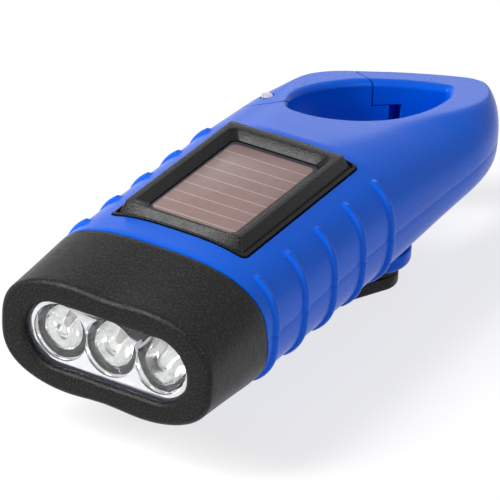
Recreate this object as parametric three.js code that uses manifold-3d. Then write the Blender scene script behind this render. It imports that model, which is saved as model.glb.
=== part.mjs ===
// Hand crank flashlight with a solar panel, a folding crank and a carabiner tail.
// Millimetres, +Z up. While it is built, y = 0 is the front face, y grows towards the tail,
// z = 0 is the parting plane of the two shells. The finished group is moved to stand on z = 0.
import * as THREE from 'three';
import { mergeVertices } from 'three/addons/utils/BufferGeometryUtils.js';
import Module from 'manifold-3d';

const wasm = await Module();
wasm.setup();

// Overall body
const bodyLength = 108;
const bodyHalfWidth = 19.9;
const bodyHalfHeight = 12.3;
const undersideTrim = 0.5;
const sectionPower = 2.8;
const shellWall = 1.6;
const fit = 0.3;
const partingGap = 0.1;
const overrun = 3;

// Head
const faceTaper = 0.2;
const windowWidthShare = 0.7665;
const windowHeightShare = 0.557;
const faceDrop = 1.8;
const faceSink = 0.25;
const faceRound = 1;
const waistDip = 0.85;
const waistHalfWidth = 6;
const headTopLength = 15.5;
const headBottomLength = 19.5;
const headWall = 1.8;
const faceWall = 0.8;
const neckStart = 10.4;
const headStationShares = [0.24, 0.46, 0.7];

// Lamp behind the window
const ledPitchShare = 0.603;
const cupMouthShare = 0.658;
const ledRadiusShare = 0.715;
const ledRimProud = 0.2;
const ledDomeDepth = 1.2;
const ledRimThickness = 1;
const ledFront = 2.3;
const ledBack = 11.1;
const lensThickness = 1;
const lensLip = 0.7;
const sealThickness = 0.8;
const reflectorBack = 8.8;
const reflectorWall = 0.5;
const lampBoardThickness = 1.2;
const lampBoardInset = 1.5;

// Side ribs
const ribCount = 5;
const ribSpanShare = 0.47;
const firstRib = 20.2;
const ribPitch = 9.5;
const ribRadius = 1.1;
const ribProud = 0.65;

// Tail and carabiner
const tailStart = 60;
const tipHalfThickness = 6;
const holeFillet = 1.2;
const gatePinInset = 5.5;
const gatePinSetback = 15;
const gatePinRadius = 1;
const gateEyeRadius = 4.8;
const tongueHalfThickness = 1.8;
const gateNoseShares = [-0.151, 0.673];
const gateJointSlant = -0.365;
const gateTabLength = 3.1;
const gateTabHalfHeight = 3;
const gateTabDepth = 2.6;
const gatePinSink = 3.9;
const gateNotchSpare = 2.2;
const gateSpringWire = 0.25;
const gateSpringRadius = 1.9;
const gateSpringPitch = 1;
const gateSpringLeg = 1.6;

// Solar bezel and panel
const bezelFront = 21.6;
const bezelBack = 58.6;
const bezelSideMargin = 7.3;
const bezelProud = 1.14;
const bezelLip = 1.2;
const bezelEase = 0.2;
const bezelCorner = 1;
const bezelOpeningCorner = 1.4;
const bezelSink = 2;
const bezelBevelRun = 1.7;
const bezelRimSide = 1.1;
const bezelRimEnd = 1.9;
const panelThickness = 1.2;
const cavityEnd = 6.4;

// Crank
const hubY = 57.2;
const crankSwing = 26;
const crankRadius = 19.1;
const hubRadius = 7;
const hubThickness = 1.2;
const hubLugHalfWidth = 2.5;
const hubLugRadius = 2.4;
const foldPinDrop = 4.7;
const foldPinRadius = 0.8;
const armDrop = 5.2;
const armThickness = 2.5;
const armHalfWidth = 4.5;
const armNeckRadius = 4.1;
const armNeckHeight = 1.5;
const knobRadius = 6.5;
const knobHeight = 3.1;
const knobRound = 1.2;
const knobPinRadius = 1.1;
const knobPinHeadRadius = 2;
const knobPinHeadHeight = 0.7;
const axleRadius = 1.5;

// Gear train, from the crank to the generator
const gearModule = 0.5;
const crankTeeth = 32;
const pinionTeeth = 10;
const wheelTeeth = 28;
const gearBacklashShare = 0.18;
const gearHubWall = 0.5;
const gearPinRadius = 0.7;
const postRadius = 1.6;
const platePostShares = [[-0.66, 0.85], [0.66, 0.42], [-0.66, 0.05]];
const canRadius = 5.6;
const canWall = 0.8;
const magnetRadius = 3.4;
const rotorShaftRadius = 0.6;

// Board, cell and switch
const boardSideMargin = 8.9;
const boardFront = 24;
const boardBack = 58;
const boardCorner = 1;
const boardPegInset = 1.8;
const boardPegRadius = 1.2;
const cellRadius = 10;
const cellY = 44;
const clipSheet = 0.8;
const cellClipHalfWidth = 2.5;
const buttonY = 24.5;
const buttonRadius = 3.6;
const buttonFlange = 1.1;
const buttonFlangeThickness = 0.9;
const buttonProud = 0.9;
const buttonTravel = 0.6;
const switchBoardThickness = 1;
const switchBoardHalfWidth = 7;
const switchBoardHalfLength = 3.6;
const switchHalfSize = 2;
const switchStemRadius = 1;
const buttonSpringRadius = 3.2;
const buttonSpringWire = 0.25;

// Housing screws
const screwInset = 5.3;
const screwFrontY = 28;
const screwBackY = 63.5;
const screwRadius = 1;
const screwHeadRadius = 1.9;
const screwHeadHeight = 1.3;
const bossRadius = 2.6;
const screwReach = 4;

// Finishes
const bluePlastic = finish(0x1450c8, 0.35, 0);
const blackPlastic = finish(0x232325, 0.6, 0);
const blackGloss = finish(0x1c1c1e, 0.3, 0);
const clearPlastic = finish(0xe8eef2, 0.05, 0);
const chrome = finish(0xd8dadc, 0.12, 1);
const rubber = finish(0x18213c, 0.8, 0);
const solarCell = finish(0x8e7a75, 0.3, 0);
const boardGreen = finish(0x1d5b36, 0.5, 0);
const steel = finish(0xb9bcc0, 0.3, 1);
const copper = finish(0xb5703c, 0.35, 1);
const whitePlastic = finish(0xe6e3da, 0.45, 0);

// Levels inside the housing, as shares of the height from its floor to the panel's tray
const levelShares = [
  ['stepWheelLow', 0.029],
  ['stepWheelHigh', 0.105],
  ['idlerWheelLow', 0.129],
  ['idlerWheelHigh', 0.205],
  ['crankGearLow', 0.228],
  ['crankGearHigh', 0.333],
  ['plateLow', 0.368],
  ['plateHigh', 0.439],
  ['canHigh', 0.573],
  ['boardLow', 0.632],
  ['boardHigh', 0.702],
  ['cellHigh', 0.892],
  ['switchBoardLow', 0.281],
];

// Places that follow from the sizes above
const tailLength = bodyLength - tailStart;
const undersideDepth = bodyHalfHeight - undersideTrim;
const faceHalfWidth = bodyHalfWidth - faceTaper;
const faceHalfHeight = bodyHalfHeight - faceDrop;
const windowHalfWidth = windowWidthShare * faceHalfWidth;
const windowHalfHeight = windowHeightShare * faceHalfHeight;
const ledPitch = ledPitchShare * windowHalfWidth;
const cupMouthRadius = cupMouthShare * Math.sqrt(ledPitch * windowHalfHeight);
const ledRadius = ledRadiusShare * cupMouthRadius;
const ledRimRadius = ledRadius + ledRimProud;
const gatePinX = -bodyHalfWidth + gatePinInset;
const gatePinY = tailStart + gatePinSetback;
const gateNoseX = gateNoseShares[0] * bodyHalfWidth;
const gateNoseY = tailStart + gateNoseShares[1] * tailLength;
const bezelTop = bodyHalfHeight + bezelProud;
const bezelBaseLevel = bodyHalfHeight - bezelSink;
const bezelHalfWidth = bodyHalfWidth - bezelSideMargin;
const cavityFloor = undersideDepth - shellWall;
const cavityBack = tailStart + cavityEnd;
const panelSeat = bezelBaseLevel - panelThickness - 2 * fit;
const foldPinLevel = undersideDepth + foldPinDrop;
const armTop = undersideDepth + armDrop;
const boardHalfWidth = bodyHalfWidth - boardSideMargin;
const screwX = bodyHalfWidth - screwInset;
const levels = Object.fromEntries(levelShares.map(([name, share]) => (
  [name, THREE.MathUtils.lerp(-cavityFloor, panelSeat - shellWall, share)])));
const sidesFine = 24;
const sidesSmall = 10;
const quarter = Math.PI / 2;

function finish(color, roughness, metalness) {
  return new THREE.MeshStandardMaterial({ color, roughness, metalness });
}

// Solids

function solid(geometry) {
  const bare = geometry.clone();
  bare.deleteAttribute('normal');
  bare.deleteAttribute('uv');
  const merged = mergeVertices(bare, 1e-5);
  const kept = [];
  for (let i = 0; i < merged.index.count; i += 3) {
    const [a, b, c] = [0, 1, 2].map((k) => merged.index.getX(i + k));
    if (a !== b && b !== c && c !== a) {
      kept.push(a, b, c);
    }
  }
  const vertProperties = new Float32Array(merged.attributes.position.array);
  const mesh = new wasm.Mesh({ numProp: 3, vertProperties, triVerts: new Uint32Array(kept) });
  return new wasm.Manifold(mesh);
}

function geometryOf(manifold) {
  const mesh = manifold.getMesh();
  const geometry = new THREE.BufferGeometry();
  geometry.setAttribute('position', new THREE.BufferAttribute(mesh.vertProperties, 3));
  geometry.setIndex(new THREE.BufferAttribute(mesh.triVerts, 1));
  geometry.computeVertexNormals();
  return geometry;
}

function piece(name, manifold, material) {
  const mesh = new THREE.Mesh(geometryOf(manifold), material);
  mesh.name = name;
  return mesh;
}

function join(...parts) {
  return parts.reduce((whole, part) => whole.add(part));
}

function box(low, high) {
  const size = high.map((value, axis) => value - low[axis]);
  const geometry = new THREE.BoxGeometry(...size);
  geometry.translate(...low.map((value, axis) => value + size[axis] / 2));
  return solid(geometry);
}

function rod(x, y, low, high, radius, sides = sidesSmall) {
  const geometry = new THREE.CylinderGeometry(radius, radius, high - low, sides);
  geometry.rotateX(quarter);
  geometry.translate(x, y, (low + high) / 2);
  return solid(geometry);
}

function prism(shape, low, high, curveSegments = 4, place = [0, 0]) {
  const options = { depth: high - low, bevelEnabled: false, curveSegments };
  const geometry = new THREE.ExtrudeGeometry(shape, options);
  geometry.translate(...place, low);
  return solid(geometry);
}

// A plate that stands upright, drawn in x and z and running from one y to another.
function uprightPrism(shape, front, back, curveSegments = 8) {
  const options = { depth: back - front, bevelEnabled: false, curveSegments };
  const geometry = new THREE.ExtrudeGeometry(shape, options);
  geometry.rotateX(quarter);
  geometry.translate(0, back, 0);
  return solid(geometry);
}

function lathe(profile, x, y, sides = sidesFine) {
  const geometry = new THREE.LatheGeometry(profile.map(([r, z]) => new THREE.Vector2(r, z)), sides);
  geometry.rotateX(quarter);
  geometry.translate(x, y, 0);
  return solid(geometry);
}

// A closed solid through rings of equal point counts, capped at both ends.
function loft(rings) {
  const count = rings[0].length;
  const positions = rings.flat().flatMap((point) => point.toArray());
  const faces = [];
  for (let ring = 0; ring < rings.length - 1; ring += 1) {
    for (let i = 0; i < count; i += 1) {
      const next = (i + 1) % count;
      const a = ring * count + i;
      const b = ring * count + next;
      faces.push(a, b, b + count, a, b + count, a + count);
    }
  }
  for (const [ring, flip] of [[0, true], [rings.length - 1, false]]) {
    const centre = positions.length / 3;
    const middle = new THREE.Vector3();
    rings[ring].forEach((point) => middle.addScaledVector(point, 1 / count));
    positions.push(...middle.toArray());
    for (let i = 0; i < count; i += 1) {
      const edge = [ring * count + i, ring * count + (i + 1) % count];
      faces.push(...(flip ? edge.reverse() : edge), centre);
    }
  }
  const geometry = new THREE.BufferGeometry();
  geometry.setAttribute('position', new THREE.Float32BufferAttribute(positions, 3));
  geometry.setIndex(signedVolume(positions, faces) < 0 ? faces.reverse() : faces);
  return solid(geometry);
}

function signedVolume(positions, faces) {
  let total = 0;
  const corner = (index) => new THREE.Vector3().fromArray(positions, index * 3);
  for (let i = 0; i < faces.length; i += 3) {
    const [a, b, c] = [corner(faces[i]), corner(faces[i + 1]), corner(faces[i + 2])];
    total += a.dot(b.cross(c));
  }
  return total;
}

// A tube along points, whose radius is given for each point.
function tube(points, radii, sides) {
  const path = new THREE.CatmullRomCurve3(points);
  const frames = path.computeFrenetFrames(points.length - 1, false);
  const rings = points.map((point, i) => {
    const ring = [];
    for (let side = 0; side < sides; side += 1) {
      const angle = (side / sides) * 2 * Math.PI;
      const offset = frames.normals[i].clone().multiplyScalar(Math.cos(angle) * radii[i]);
      offset.addScaledVector(frames.binormals[i], Math.sin(angle) * radii[i]);
      ring.push(point.clone().add(offset));
    }
    return ring;
  });
  return loft(rings);
}

function stadium(halfWidth, halfHeight) {
  const shape = new THREE.Shape();
  const straight = halfWidth - halfHeight;
  shape.absarc(straight, -faceSink, halfHeight, -quarter, quarter);
  shape.absarc(-straight, -faceSink, halfHeight, quarter, 3 * quarter);
  shape.closePath();
  return shape;
}

function roundedRectangle(left, right, front, back, radius) {
  const shape = new THREE.Shape();
  shape.absarc(right - radius, front + radius, radius, -quarter, 0);
  shape.absarc(right - radius, back - radius, radius, 0, quarter);
  shape.absarc(left + radius, back - radius, radius, quarter, 2 * quarter);
  shape.absarc(left + radius, front + radius, radius, 2 * quarter, 3 * quarter);
  shape.closePath();
  return shape;
}

function polygon(points) {
  return new THREE.Shape(points.map(([x, y]) => new THREE.Vector2(x, y)));
}

// Body section: two upper and two lower superellipse quarters that meet at the edges of the
// parting plane and at a crest, with the crest cut off level where the section has a flat.

function quarterPoints(edge, crest, height, cut, steps) {
  const top = Math.min(1, cut / height);
  const limit = Math.asin(top ** (sectionPower / 2));
  return Array.from({ length: steps + 1 }, (_, i) => {
    const angle = (limit * i) / steps;
    const across = Math.cos(angle) ** (2 / sectionPower);
    const up = Math.sin(angle) ** (2 / sectionPower);
    return [crest + (edge - crest) * across, height * up];
  });
}

function sectionRing(y, section, steps) {
  const { left, right, crest, height, topCut, bottomCut, dip = 0, lower: sink = 0 } = section;
  const sunk = (x, z) => z - sink - Math.sign(z) * dip * Math.exp(-((x / waistHalfWidth) ** 2));
  const up = quarterPoints(left, crest, height, topCut, steps);
  const down = quarterPoints(right, crest, height, topCut, steps).reverse();
  const under = quarterPoints(right, crest, height, bottomCut, steps).slice(1);
  const back = quarterPoints(left, crest, height, bottomCut, steps).slice(1).reverse();
  const upper = [...up, ...down];
  const lower = [...under, ...back].map(([x, z]) => [x, -z]);
  return [...upper, ...lower].map(([x, z]) => new THREE.Vector3(x, y, sunk(x, z)));
}

// The tail's plan and height, from the start of the tail to its tip. Each row holds shares:
// place along the tail, left edge, right edge and crest of half the width, height of half
// the height.
const tailShares = [
  [0, -1, 1, 0, 1],
  [0.125, -1, 1.005, 0, 0.96],
  [0.25, -1, 1.01, -0.02, 0.915],
  [0.354, -0.985, 1.015, -0.08, 0.88],
  [0.4375, -0.92, 1.02, -0.2, 0.875],
  [0.52, -0.825, 1.0225, -0.33, 0.878],
  [0.604, -0.71, 1.02, -0.35, 0.88],
  [0.677, -0.575, 1.005, -0.22, 0.86],
  [0.75, -0.385, 0.975, 0, 0.82],
  [0.8125, -0.205, 0.93, 0.15, 0.78],
  [0.8646, -0.035, 0.87, 0.28, 0.73],
  [0.906, 0.11, 0.81, 0.37, 0.67],
  [0.9417, 0.245, 0.74, 0.45, 0.6],
  [0.969, 0.35, 0.665, 0.5, 0.52],
  [0.9875, 0.43, 0.6, 0.515, 0.42],
  [1, 0.495, 0.548, 0.52, 0.26],
];

function tailCut(share) {
  return bodyHalfHeight - (bodyHalfHeight - tipHalfThickness) * share;
}

function tailSection([share, left, right, crest, height]) {
  const y = tailStart + tailLength * share;
  const flat = tailCut(share);
  const section = {
    left: left * bodyHalfWidth,
    right: right * bodyHalfWidth,
    crest: crest * bodyHalfWidth,
    height: height * bodyHalfHeight,
    topCut: flat,
    bottomCut: Math.min(flat, undersideDepth),
  };
  return { y, section };
}

function straightSection(inset = 0) {
  return {
    left: -bodyHalfWidth + inset,
    right: bodyHalfWidth - inset,
    crest: 0,
    height: bodyHalfHeight - inset,
    topCut: bodyHalfHeight - inset,
    bottomCut: undersideDepth - inset,
  };
}

function headSection(y, inset = 0) {
  const share = THREE.MathUtils.clamp(y / headTopLength, 0, 1);
  const halfWidth = THREE.MathUtils.lerp(faceHalfWidth, bodyHalfWidth, share) - inset;
  const halfHeight = THREE.MathUtils.lerp(faceHalfHeight, bodyHalfHeight, share ** 1.25) - inset;
  const lower = faceSink * (1 - share);
  return {
    left: -halfWidth,
    right: halfWidth,
    crest: 0,
    height: halfHeight,
    topCut: halfHeight,
    bottomCut: Math.min(halfHeight, undersideDepth - inset - lower),
    lower,
    dip: waistDip * (1 - share) ** 1.5,
  };
}

function bodyRings(steps) {
  const front = sectionRing(headTopLength - overrun, straightSection(), steps);
  const tail = tailShares.map(tailSection).map(({ y, section }) => sectionRing(y, section, steps));
  return [front, ...tail];
}

// The head meets the shells on a plane that leans back towards the underside.
function seamWedge(side, gap) {
  const far = bodyLength + overrun;
  const reach = bodyHalfHeight + overrun;
  const lean = (headBottomLength - headTopLength) / (2 * bodyHalfHeight);
  const middle = (headTopLength + headBottomLength) / 2;
  const edgeAt = (z) => middle - lean * z + gap;
  const end = side === 'front' ? -far : far;
  const outline = [[edgeAt(-reach), -reach], [edgeAt(reach), reach], [end, reach], [end, -reach]];
  const shape = polygon(side === 'front' ? outline : outline.reverse());
  const wide = bodyHalfWidth + overrun;
  const options = { depth: 2 * wide, bevelEnabled: false };
  const geometry = new THREE.ExtrudeGeometry(shape, options);
  geometry.translate(0, 0, -wide);
  geometry.applyMatrix4(new THREE.Matrix4().set(0, 0, 1, 0, 1, 0, 0, 0, 0, 1, 0, 0, 0, 0, 0, 1));
  return solid(geometry);
}

function neckStations() {
  const middle = (neckStart + headTopLength) / 2;
  return [neckStart, middle, headTopLength, headBottomLength + overrun];
}

// Head bezel, with the window in its face and a hollow behind it
function headBezel() {
  const steps = 6;
  const rounding = [0, 0.3, 0.65, 1].map((share) => share * faceRound);
  const inner = headStationShares.map((share) => share * headTopLength);
  const stations = [...rounding, ...inner, headTopLength, headBottomLength + overrun];
  const rings = stations.map((y) => {
    const corner = Math.max(0, 1 - y / faceRound);
    return sectionRing(y, headSection(y, faceRound * (1 - Math.sqrt(1 - corner ** 2))), steps);
  });
  const hollow = [faceWall, ...neckStations()].map((y) => sectionRing(y, headSection(y, headWall), 4));
  const opening = uprightPrism(stadium(windowHalfWidth, windowHalfHeight), -overrun, faceWall + overrun);
  return loft(rings).intersect(seamWedge('front', -partingGap)).subtract(loft(hollow)).subtract(opening);
}

// Side ribs, each following the body section from the shoulder down round the side
function sideRib(side, y) {
  const steps = 6;
  const points = [];
  const radii = [];
  for (let i = 0; i <= steps; i += 1) {
    const share = i / steps;
    const angle = THREE.MathUtils.lerp(ribSpanShare, -ribSpanShare, share) * quarter;
    const across = Math.cos(angle) ** (2 / sectionPower);
    const up = Math.sign(angle) * Math.abs(Math.sin(angle)) ** (2 / sectionPower);
    const sink = 1 - (ribRadius - ribProud) / bodyHalfWidth;
    points.push(new THREE.Vector3(side * bodyHalfWidth * across * sink, y, bodyHalfHeight * up * sink));
    radii.push(ribRadius * Math.sqrt(1 - (Math.max(0, Math.abs(share * 2 - 1) - 0.8) / 0.21) ** 2));
  }
  return tube(points, radii, 6);
}

function sideRibs() {
  const ribs = [];
  for (let i = 0; i < ribCount; i += 1) {
    ribs.push(sideRib(-1, firstRib + i * ribPitch), sideRib(1, firstRib + i * ribPitch));
  }
  return join(...ribs);
}

// Carabiner hole, as shares of half the width and of the tail's length
const holeShares = [
  [-0.548, 0.302],
  [-0.43, 0.215],
  [-0.176, 0.202],
  [0.141, 0.258],
  [0.402, 0.373],
  [0.523, 0.5],
  [0.568, 0.646],
  [0.538, 0.771],
  [0.417, 0.845],
  [0.236, 0.819],
  [-0.05, 0.748],
  [-0.317, 0.644],
  [-0.508, 0.498],
  [-0.568, 0.385],
];

function holeCurve() {
  const spots = holeShares.map(([x, y]) => [x * bodyHalfWidth, tailStart + y * tailLength]);
  return new THREE.CatmullRomCurve3(spots.map(([x, y]) => new THREE.Vector3(x, y, 0)), true);
}

// Depth below the rim and flare of the hole's rounded edge, as shares of its fillet
const filletShares = [[-2, 1], [0, 1], [0.3, 0.5], [0.8, 0.12], [1.3, 0]];

function holeCutter() {
  const curve = holeCurve();
  const count = 26;
  const upper = filletShares.map(([depth, flare]) => ({ side: 1, depth, flare }));
  const lower = filletShares.map(([depth, flare]) => ({ side: -1, depth, flare })).reverse();
  const rows = [...upper, ...lower];
  const rings = rows.map(({ side, depth, flare }) => Array.from({ length: count }, (_, i) => {
    const point = curve.getPointAt(i / count);
    const tangent = curve.getTangentAt(i / count);
    const inset = holeFillet * (1 - flare);
    const level = side * (tailCut((point.y - tailStart) / tailLength) - depth * holeFillet);
    return new THREE.Vector3(point.x - tangent.y * inset, point.y + tangent.x * inset, level);
  }));
  return loft(rings);
}

// Gate: everything of the carabiner's left arm from its eye to the nose joint
function gateOutline(grow) {
  const eye = gateEyeRadius + grow;
  const shape = new THREE.Shape();
  const left = -bodyHalfWidth - overrun;
  const slant = new THREE.Vector2(1, gateJointSlant).normalize();
  const start = new THREE.Vector2(gateNoseX, gateNoseY).addScaledVector(slant, overrun);
  const end = new THREE.Vector2(gateNoseX, gateNoseY).addScaledVector(slant, left);
  const shift = new THREE.Vector2(-slant.y, slant.x).multiplyScalar(grow);
  shape.moveTo(left, gatePinY - grow);
  shape.absarc(gatePinX, gatePinY, eye, Math.PI + Math.asin(grow / eye), 2 * Math.PI);
  shape.lineTo(start.x + shift.x, start.y + shift.y);
  shape.lineTo(end.x + shift.x, end.y + shift.y);
  shape.closePath();
  return shape;
}

function gateTab(grow, spare) {
  const along = new THREE.Vector2(0.72, 0.695).normalize();
  const outward = new THREE.Vector2(-along.y, along.x);
  const corner = (a, b) => {
    const spot = new THREE.Vector2(gateNoseX, gateNoseY);
    spot.addScaledVector(along, a).addScaledVector(outward, b);
    return [spot.x, spot.y];
  };
  const reach = gateTabLength + spare;
  const depth = gateTabDepth + grow;
  const inner = grow > 0 ? -overrun : 0;
  const nearSide = [corner(-overrun, inner), corner(reach, inner)];
  const farSide = [corner(reach, depth), corner(-overrun, depth)];
  const high = gateTabHalfHeight + grow;
  return prism(polygon([...nearSide, ...farSide]), -high, high);
}

function gatePrism(grow) {
  const high = bodyHalfHeight + overrun;
  return prism(gateOutline(grow), -high, high, 10);
}

function gatePinHole(radius) {
  const high = bodyHalfHeight + overrun;
  return rod(gatePinX, gatePinY, -high, high, radius);
}

// The shells' tongue between the gate's two lugs. Its root stops short of the gate's swing.
function tongue() {
  const high = tongueHalfThickness;
  const round = rod(gatePinX, gatePinY, -high, high, gateEyeRadius, sidesFine);
  const front = gatePinY - gateEyeRadius - 2 * fit;
  const swingSide = gatePinX + 0.8 * gateEyeRadius;
  return round.add(box([-bodyHalfWidth + shellWall / 2, front, -high], [swingSide, gatePinY, high]));
}

function tongueRoom() {
  const high = tongueHalfThickness + fit;
  const round = rod(gatePinX, gatePinY, -high, high, gateEyeRadius + fit, sidesFine);
  const near = [-bodyHalfWidth - overrun, gatePinY - gateEyeRadius - overrun, -high];
  const far = [gatePinX + gateEyeRadius + overrun, gatePinY + fit, high];
  return round.add(box(near, far));
}

function gateSocket() {
  const room = gatePrism(fit).subtract(tongue());
  return room.add(gateTab(fit, gateNotchSpare)).add(gatePinHole(gatePinRadius + fit));
}

function gateSpringTop() {
  return tongueHalfThickness + 2 * fit + 2 * gateSpringPitch + 4 * gateSpringWire;
}

function gate(outer) {
  const springRoom = rod(gatePinX, gatePinY, 0, gateSpringTop(), gateEyeRadius + 2 * fit, sidesFine);
  const body = outer.intersect(gatePrism(0).add(gateTab(0, 0))).subtract(holeCutter());
  return body.subtract(tongueRoom().add(springRoom)).subtract(gatePinHole(gatePinRadius + fit));
}

function gatePin() {
  const half = bodyHalfHeight - gatePinSink;
  return rod(gatePinX, gatePinY, -half, half, gatePinRadius);
}

// A spring's wire, with straight legs that leave it along its tangent
function coil(x, y, low, radius, wire, pitch, turns, leg) {
  const stepsPerTurn = 8;
  const points = [];
  const total = Math.round(turns * stepsPerTurn);
  for (let i = 0; i <= total; i += 1) {
    const angle = (i / stepsPerTurn) * 2 * Math.PI;
    const level = low + wire + (pitch * i) / stepsPerTurn;
    points.push(new THREE.Vector3(x + radius * Math.cos(angle), y + radius * Math.sin(angle), level));
  }
  if (leg > 0) {
    const first = new THREE.Vector3(x + radius, y - leg, low + wire);
    const lastAngle = (total / stepsPerTurn) * 2 * Math.PI;
    const away = new THREE.Vector3(-Math.sin(lastAngle), Math.cos(lastAngle), 0).multiplyScalar(leg);
    points.unshift(first);
    points.push(points[points.length - 1].clone().add(away));
  }
  return tube(points, points.map(() => wire), 5);
}

// Shells

function boss(x, y, low, high) {
  return rod(x, y, low, high, bossRadius);
}

function screwPlaces() {
  const places = [];
  for (const y of [screwFrontY, screwBackY]) {
    places.push([-screwX, y], [screwX, y]);
  }
  return places;
}

function housing() {
  const outer = loft(bodyRings(6));
  const neck = loft(neckStations().map((y) => sectionRing(y, headSection(y, headWall + fit), 4)));
  const skin = outer.intersect(seamWedge('back', partingGap));
  const whole = skin.add(sideRibs().intersect(seamWedge('back', partingGap))).add(neck);
  return { outer, whole };
}

function cavity() {
  const inset = headWall + fit + shellWall;
  const neckHollow = [neckStart - overrun, headTopLength, headBottomLength + overrun]
    .map((y) => sectionRing(y, headSection(y, inset), 4));
  const stations = [headBottomLength + fit, tailStart, cavityBack];
  const room = stations.map((y, i) => {
    const section = straightSection(shellWall);
    const lower = i === stations.length - 1 ? fit : 0;
    const cuts = { topCut: section.topCut - lower, bottomCut: cavityFloor - lower };
    return sectionRing(y, { ...section, ...cuts }, 4);
  });
  return loft(neckHollow).add(loft(room));
}

function hollowHousing() {
  const { outer, whole } = housing();
  const hollow = whole.subtract(cavity()).subtract(holeCutter()).subtract(gateSocket());
  return { outer, hollow };
}

function halfSpace(side) {
  const wide = bodyHalfWidth + overrun;
  const high = bodyHalfHeight + overrun;
  const end = bodyLength + overrun;
  const low = side === 'top' ? partingGap / 2 : -high;
  const top = side === 'top' ? high : -partingGap / 2;
  return box([-wide, -overrun, low], [wide, end, top]);
}

// The solar panel's outline, which the bezel's rim overlaps all round
function panelOutline(grow) {
  const side = bezelHalfWidth - bezelBevelRun - fit + grow;
  const front = bezelFront + bezelBevelRun + fit - grow;
  const back = bezelBack - bezelBevelRun - fit + grow;
  return roundedRectangle(-side, side, front, back, bezelCorner);
}

function boardPegs() {
  const x = boardHalfWidth - boardPegInset;
  return [boardFront + boardPegInset, boardBack - boardPegInset].flatMap((y) => [[-x, y], [x, y]]);
}

function panelTray(inside) {
  const slab = prism(panelOutline(shellWall), panelSeat - shellWall, bezelBaseLevel - fit);
  const ledge = slab.intersect(inside);
  const opening = prism(panelOutline(-2 * shellWall), -overrun, bezelTop);
  const pegs = boardPegs().map(([x, y]) => rod(x, y, levels.boardHigh + fit, panelSeat, boardPegRadius));
  return join(ledge.subtract(prism(panelOutline(fit), panelSeat, bezelTop)).subtract(opening), ...pegs);
}

function topShell(hollow) {
  const roof = bodyHalfHeight - shellWall / 2;
  const inside = whatFits('top');
  let shell = hollow.intersect(halfSpace('top'));
  for (const [x, y] of screwPlaces()) {
    shell = shell.add(boss(x, y, partingGap / 2, roof).intersect(inside));
  }
  shell = shell.subtract(prism(panelOutline(fit), panelSeat - overrun, bezelTop));
  shell = shell.subtract(prism(bezelOutline(fit), bezelBaseLevel - fit, bezelTop + overrun));
  shell = shell.add(panelTray(inside));
  for (const [x, y] of screwPlaces()) {
    shell = shell.subtract(rod(x, y, -overrun, screwReach + fit, screwRadius + fit));
  }
  return shell;
}

// The space inside the skin's middle, which keeps what is added to a shell within its walls
function whatFits(side) {
  const section = straightSection(shellWall / 2);
  const rings = [headBottomLength, cavityBack + fit].map((y) => sectionRing(y, section, 4));
  return loft(rings).intersect(halfSpace(side));
}

// Gear places, each one set off from the last by its centre distance
function gearPlaces() {
  const first = (gearModule * (crankTeeth + pinionTeeth)) / 2;
  const next = (gearModule * (wheelTeeth + pinionTeeth)) / 2;
  const crank = [0, hubY];
  const idler = [crank[0] - 0.6 * first, crank[1] - 0.8 * first];
  const step = [idler[0] + 0.8 * next, idler[1] - 0.6 * next];
  const rotor = [step[0] + 0.5 * next, step[1] - Math.sqrt(0.75) * next];
  return { crank, idler, step, rotor };
}

function plateEnds() {
  const { rotor } = gearPlaces();
  return [rotor[1] + canRadius + fit, cavityBack - 2 * fit - shellWall];
}

function platePosts() {
  const [front, back] = plateEnds();
  const { lerp } = THREE.MathUtils;
  return platePostShares.map(([side, along]) => [side * bodyHalfWidth, lerp(front, back, along)]);
}

// A seat for the generator, open towards the wheel that drives its pinion
function generatorSeat(floor) {
  const { step, rotor } = gearPlaces();
  const base = -cavityFloor;
  const outer = canRadius + fit + shellWall / 2;
  const block = rod(...rotor, floor, levels.idlerWheelLow + shellWall, outer, sidesFine);
  const bed = rod(...rotor, levels.idlerWheelLow - fit, 0, canRadius + fit, sidesFine);
  const pinionRoom = rod(...rotor, base, 0, gearTip(pinionTeeth) + 2 * fit);
  const wheelRoom = rod(...step, base, 0, gearTip(wheelTeeth) + 2 * fit, sidesFine);
  return block.subtract(bed).subtract(pinionRoom).subtract(wheelRoom);
}

function bottomShell(hollow) {
  const { crank, idler, step } = gearPlaces();
  const floor = -cavityFloor - shellWall / 2;
  const inside = whatFits('bottom');
  let shell = hollow.intersect(halfSpace('bottom'));
  for (const [x, y] of screwPlaces()) {
    shell = shell.add(boss(x, y, floor, -partingGap / 2).intersect(inside));
  }
  for (const [x, y] of platePosts()) {
    shell = shell.add(rod(x, y, floor, levels.plateLow - fit, postRadius));
  }
  for (const [x, y] of switchPosts()) {
    shell = shell.add(rod(x, y, floor, levels.switchBoardLow - fit, postRadius));
  }
  const ringRadius = buttonRadius + buttonFlange + 3 * fit;
  const ring = rod(0, buttonY, floor, -cavityFloor + shellWall, ringRadius, sidesFine);
  shell = shell.add(ring.intersect(inside)).add(generatorSeat(floor).intersect(inside));
  shell = shell.subtract(rod(0, buttonY, -cavityFloor, 0, buttonRadius + buttonFlange + fit, sidesFine));
  shell = shell.subtract(rod(0, buttonY, -bodyHalfHeight - overrun, 0, buttonRadius + fit, sidesFine));
  shell = shell.subtract(rod(...crank, -bodyHalfHeight - overrun, 0, axleRadius + fit));
  for (const place of [idler, step]) {
    shell = shell.subtract(rod(...place, -cavityFloor - shellWall / 2, 0, gearPinRadius + fit));
  }
  for (const [x, y] of screwPlaces()) {
    shell = shell.subtract(rod(x, y, -bodyHalfHeight - overrun, 0, screwRadius + fit));
    shell = shell.subtract(rod(x, y, -bodyHalfHeight - overrun, screwSeat(), screwHeadRadius + fit));
  }
  return shell;
}

function screwSeat() {
  return -cavityFloor + screwHeadHeight + shellWall;
}

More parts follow.
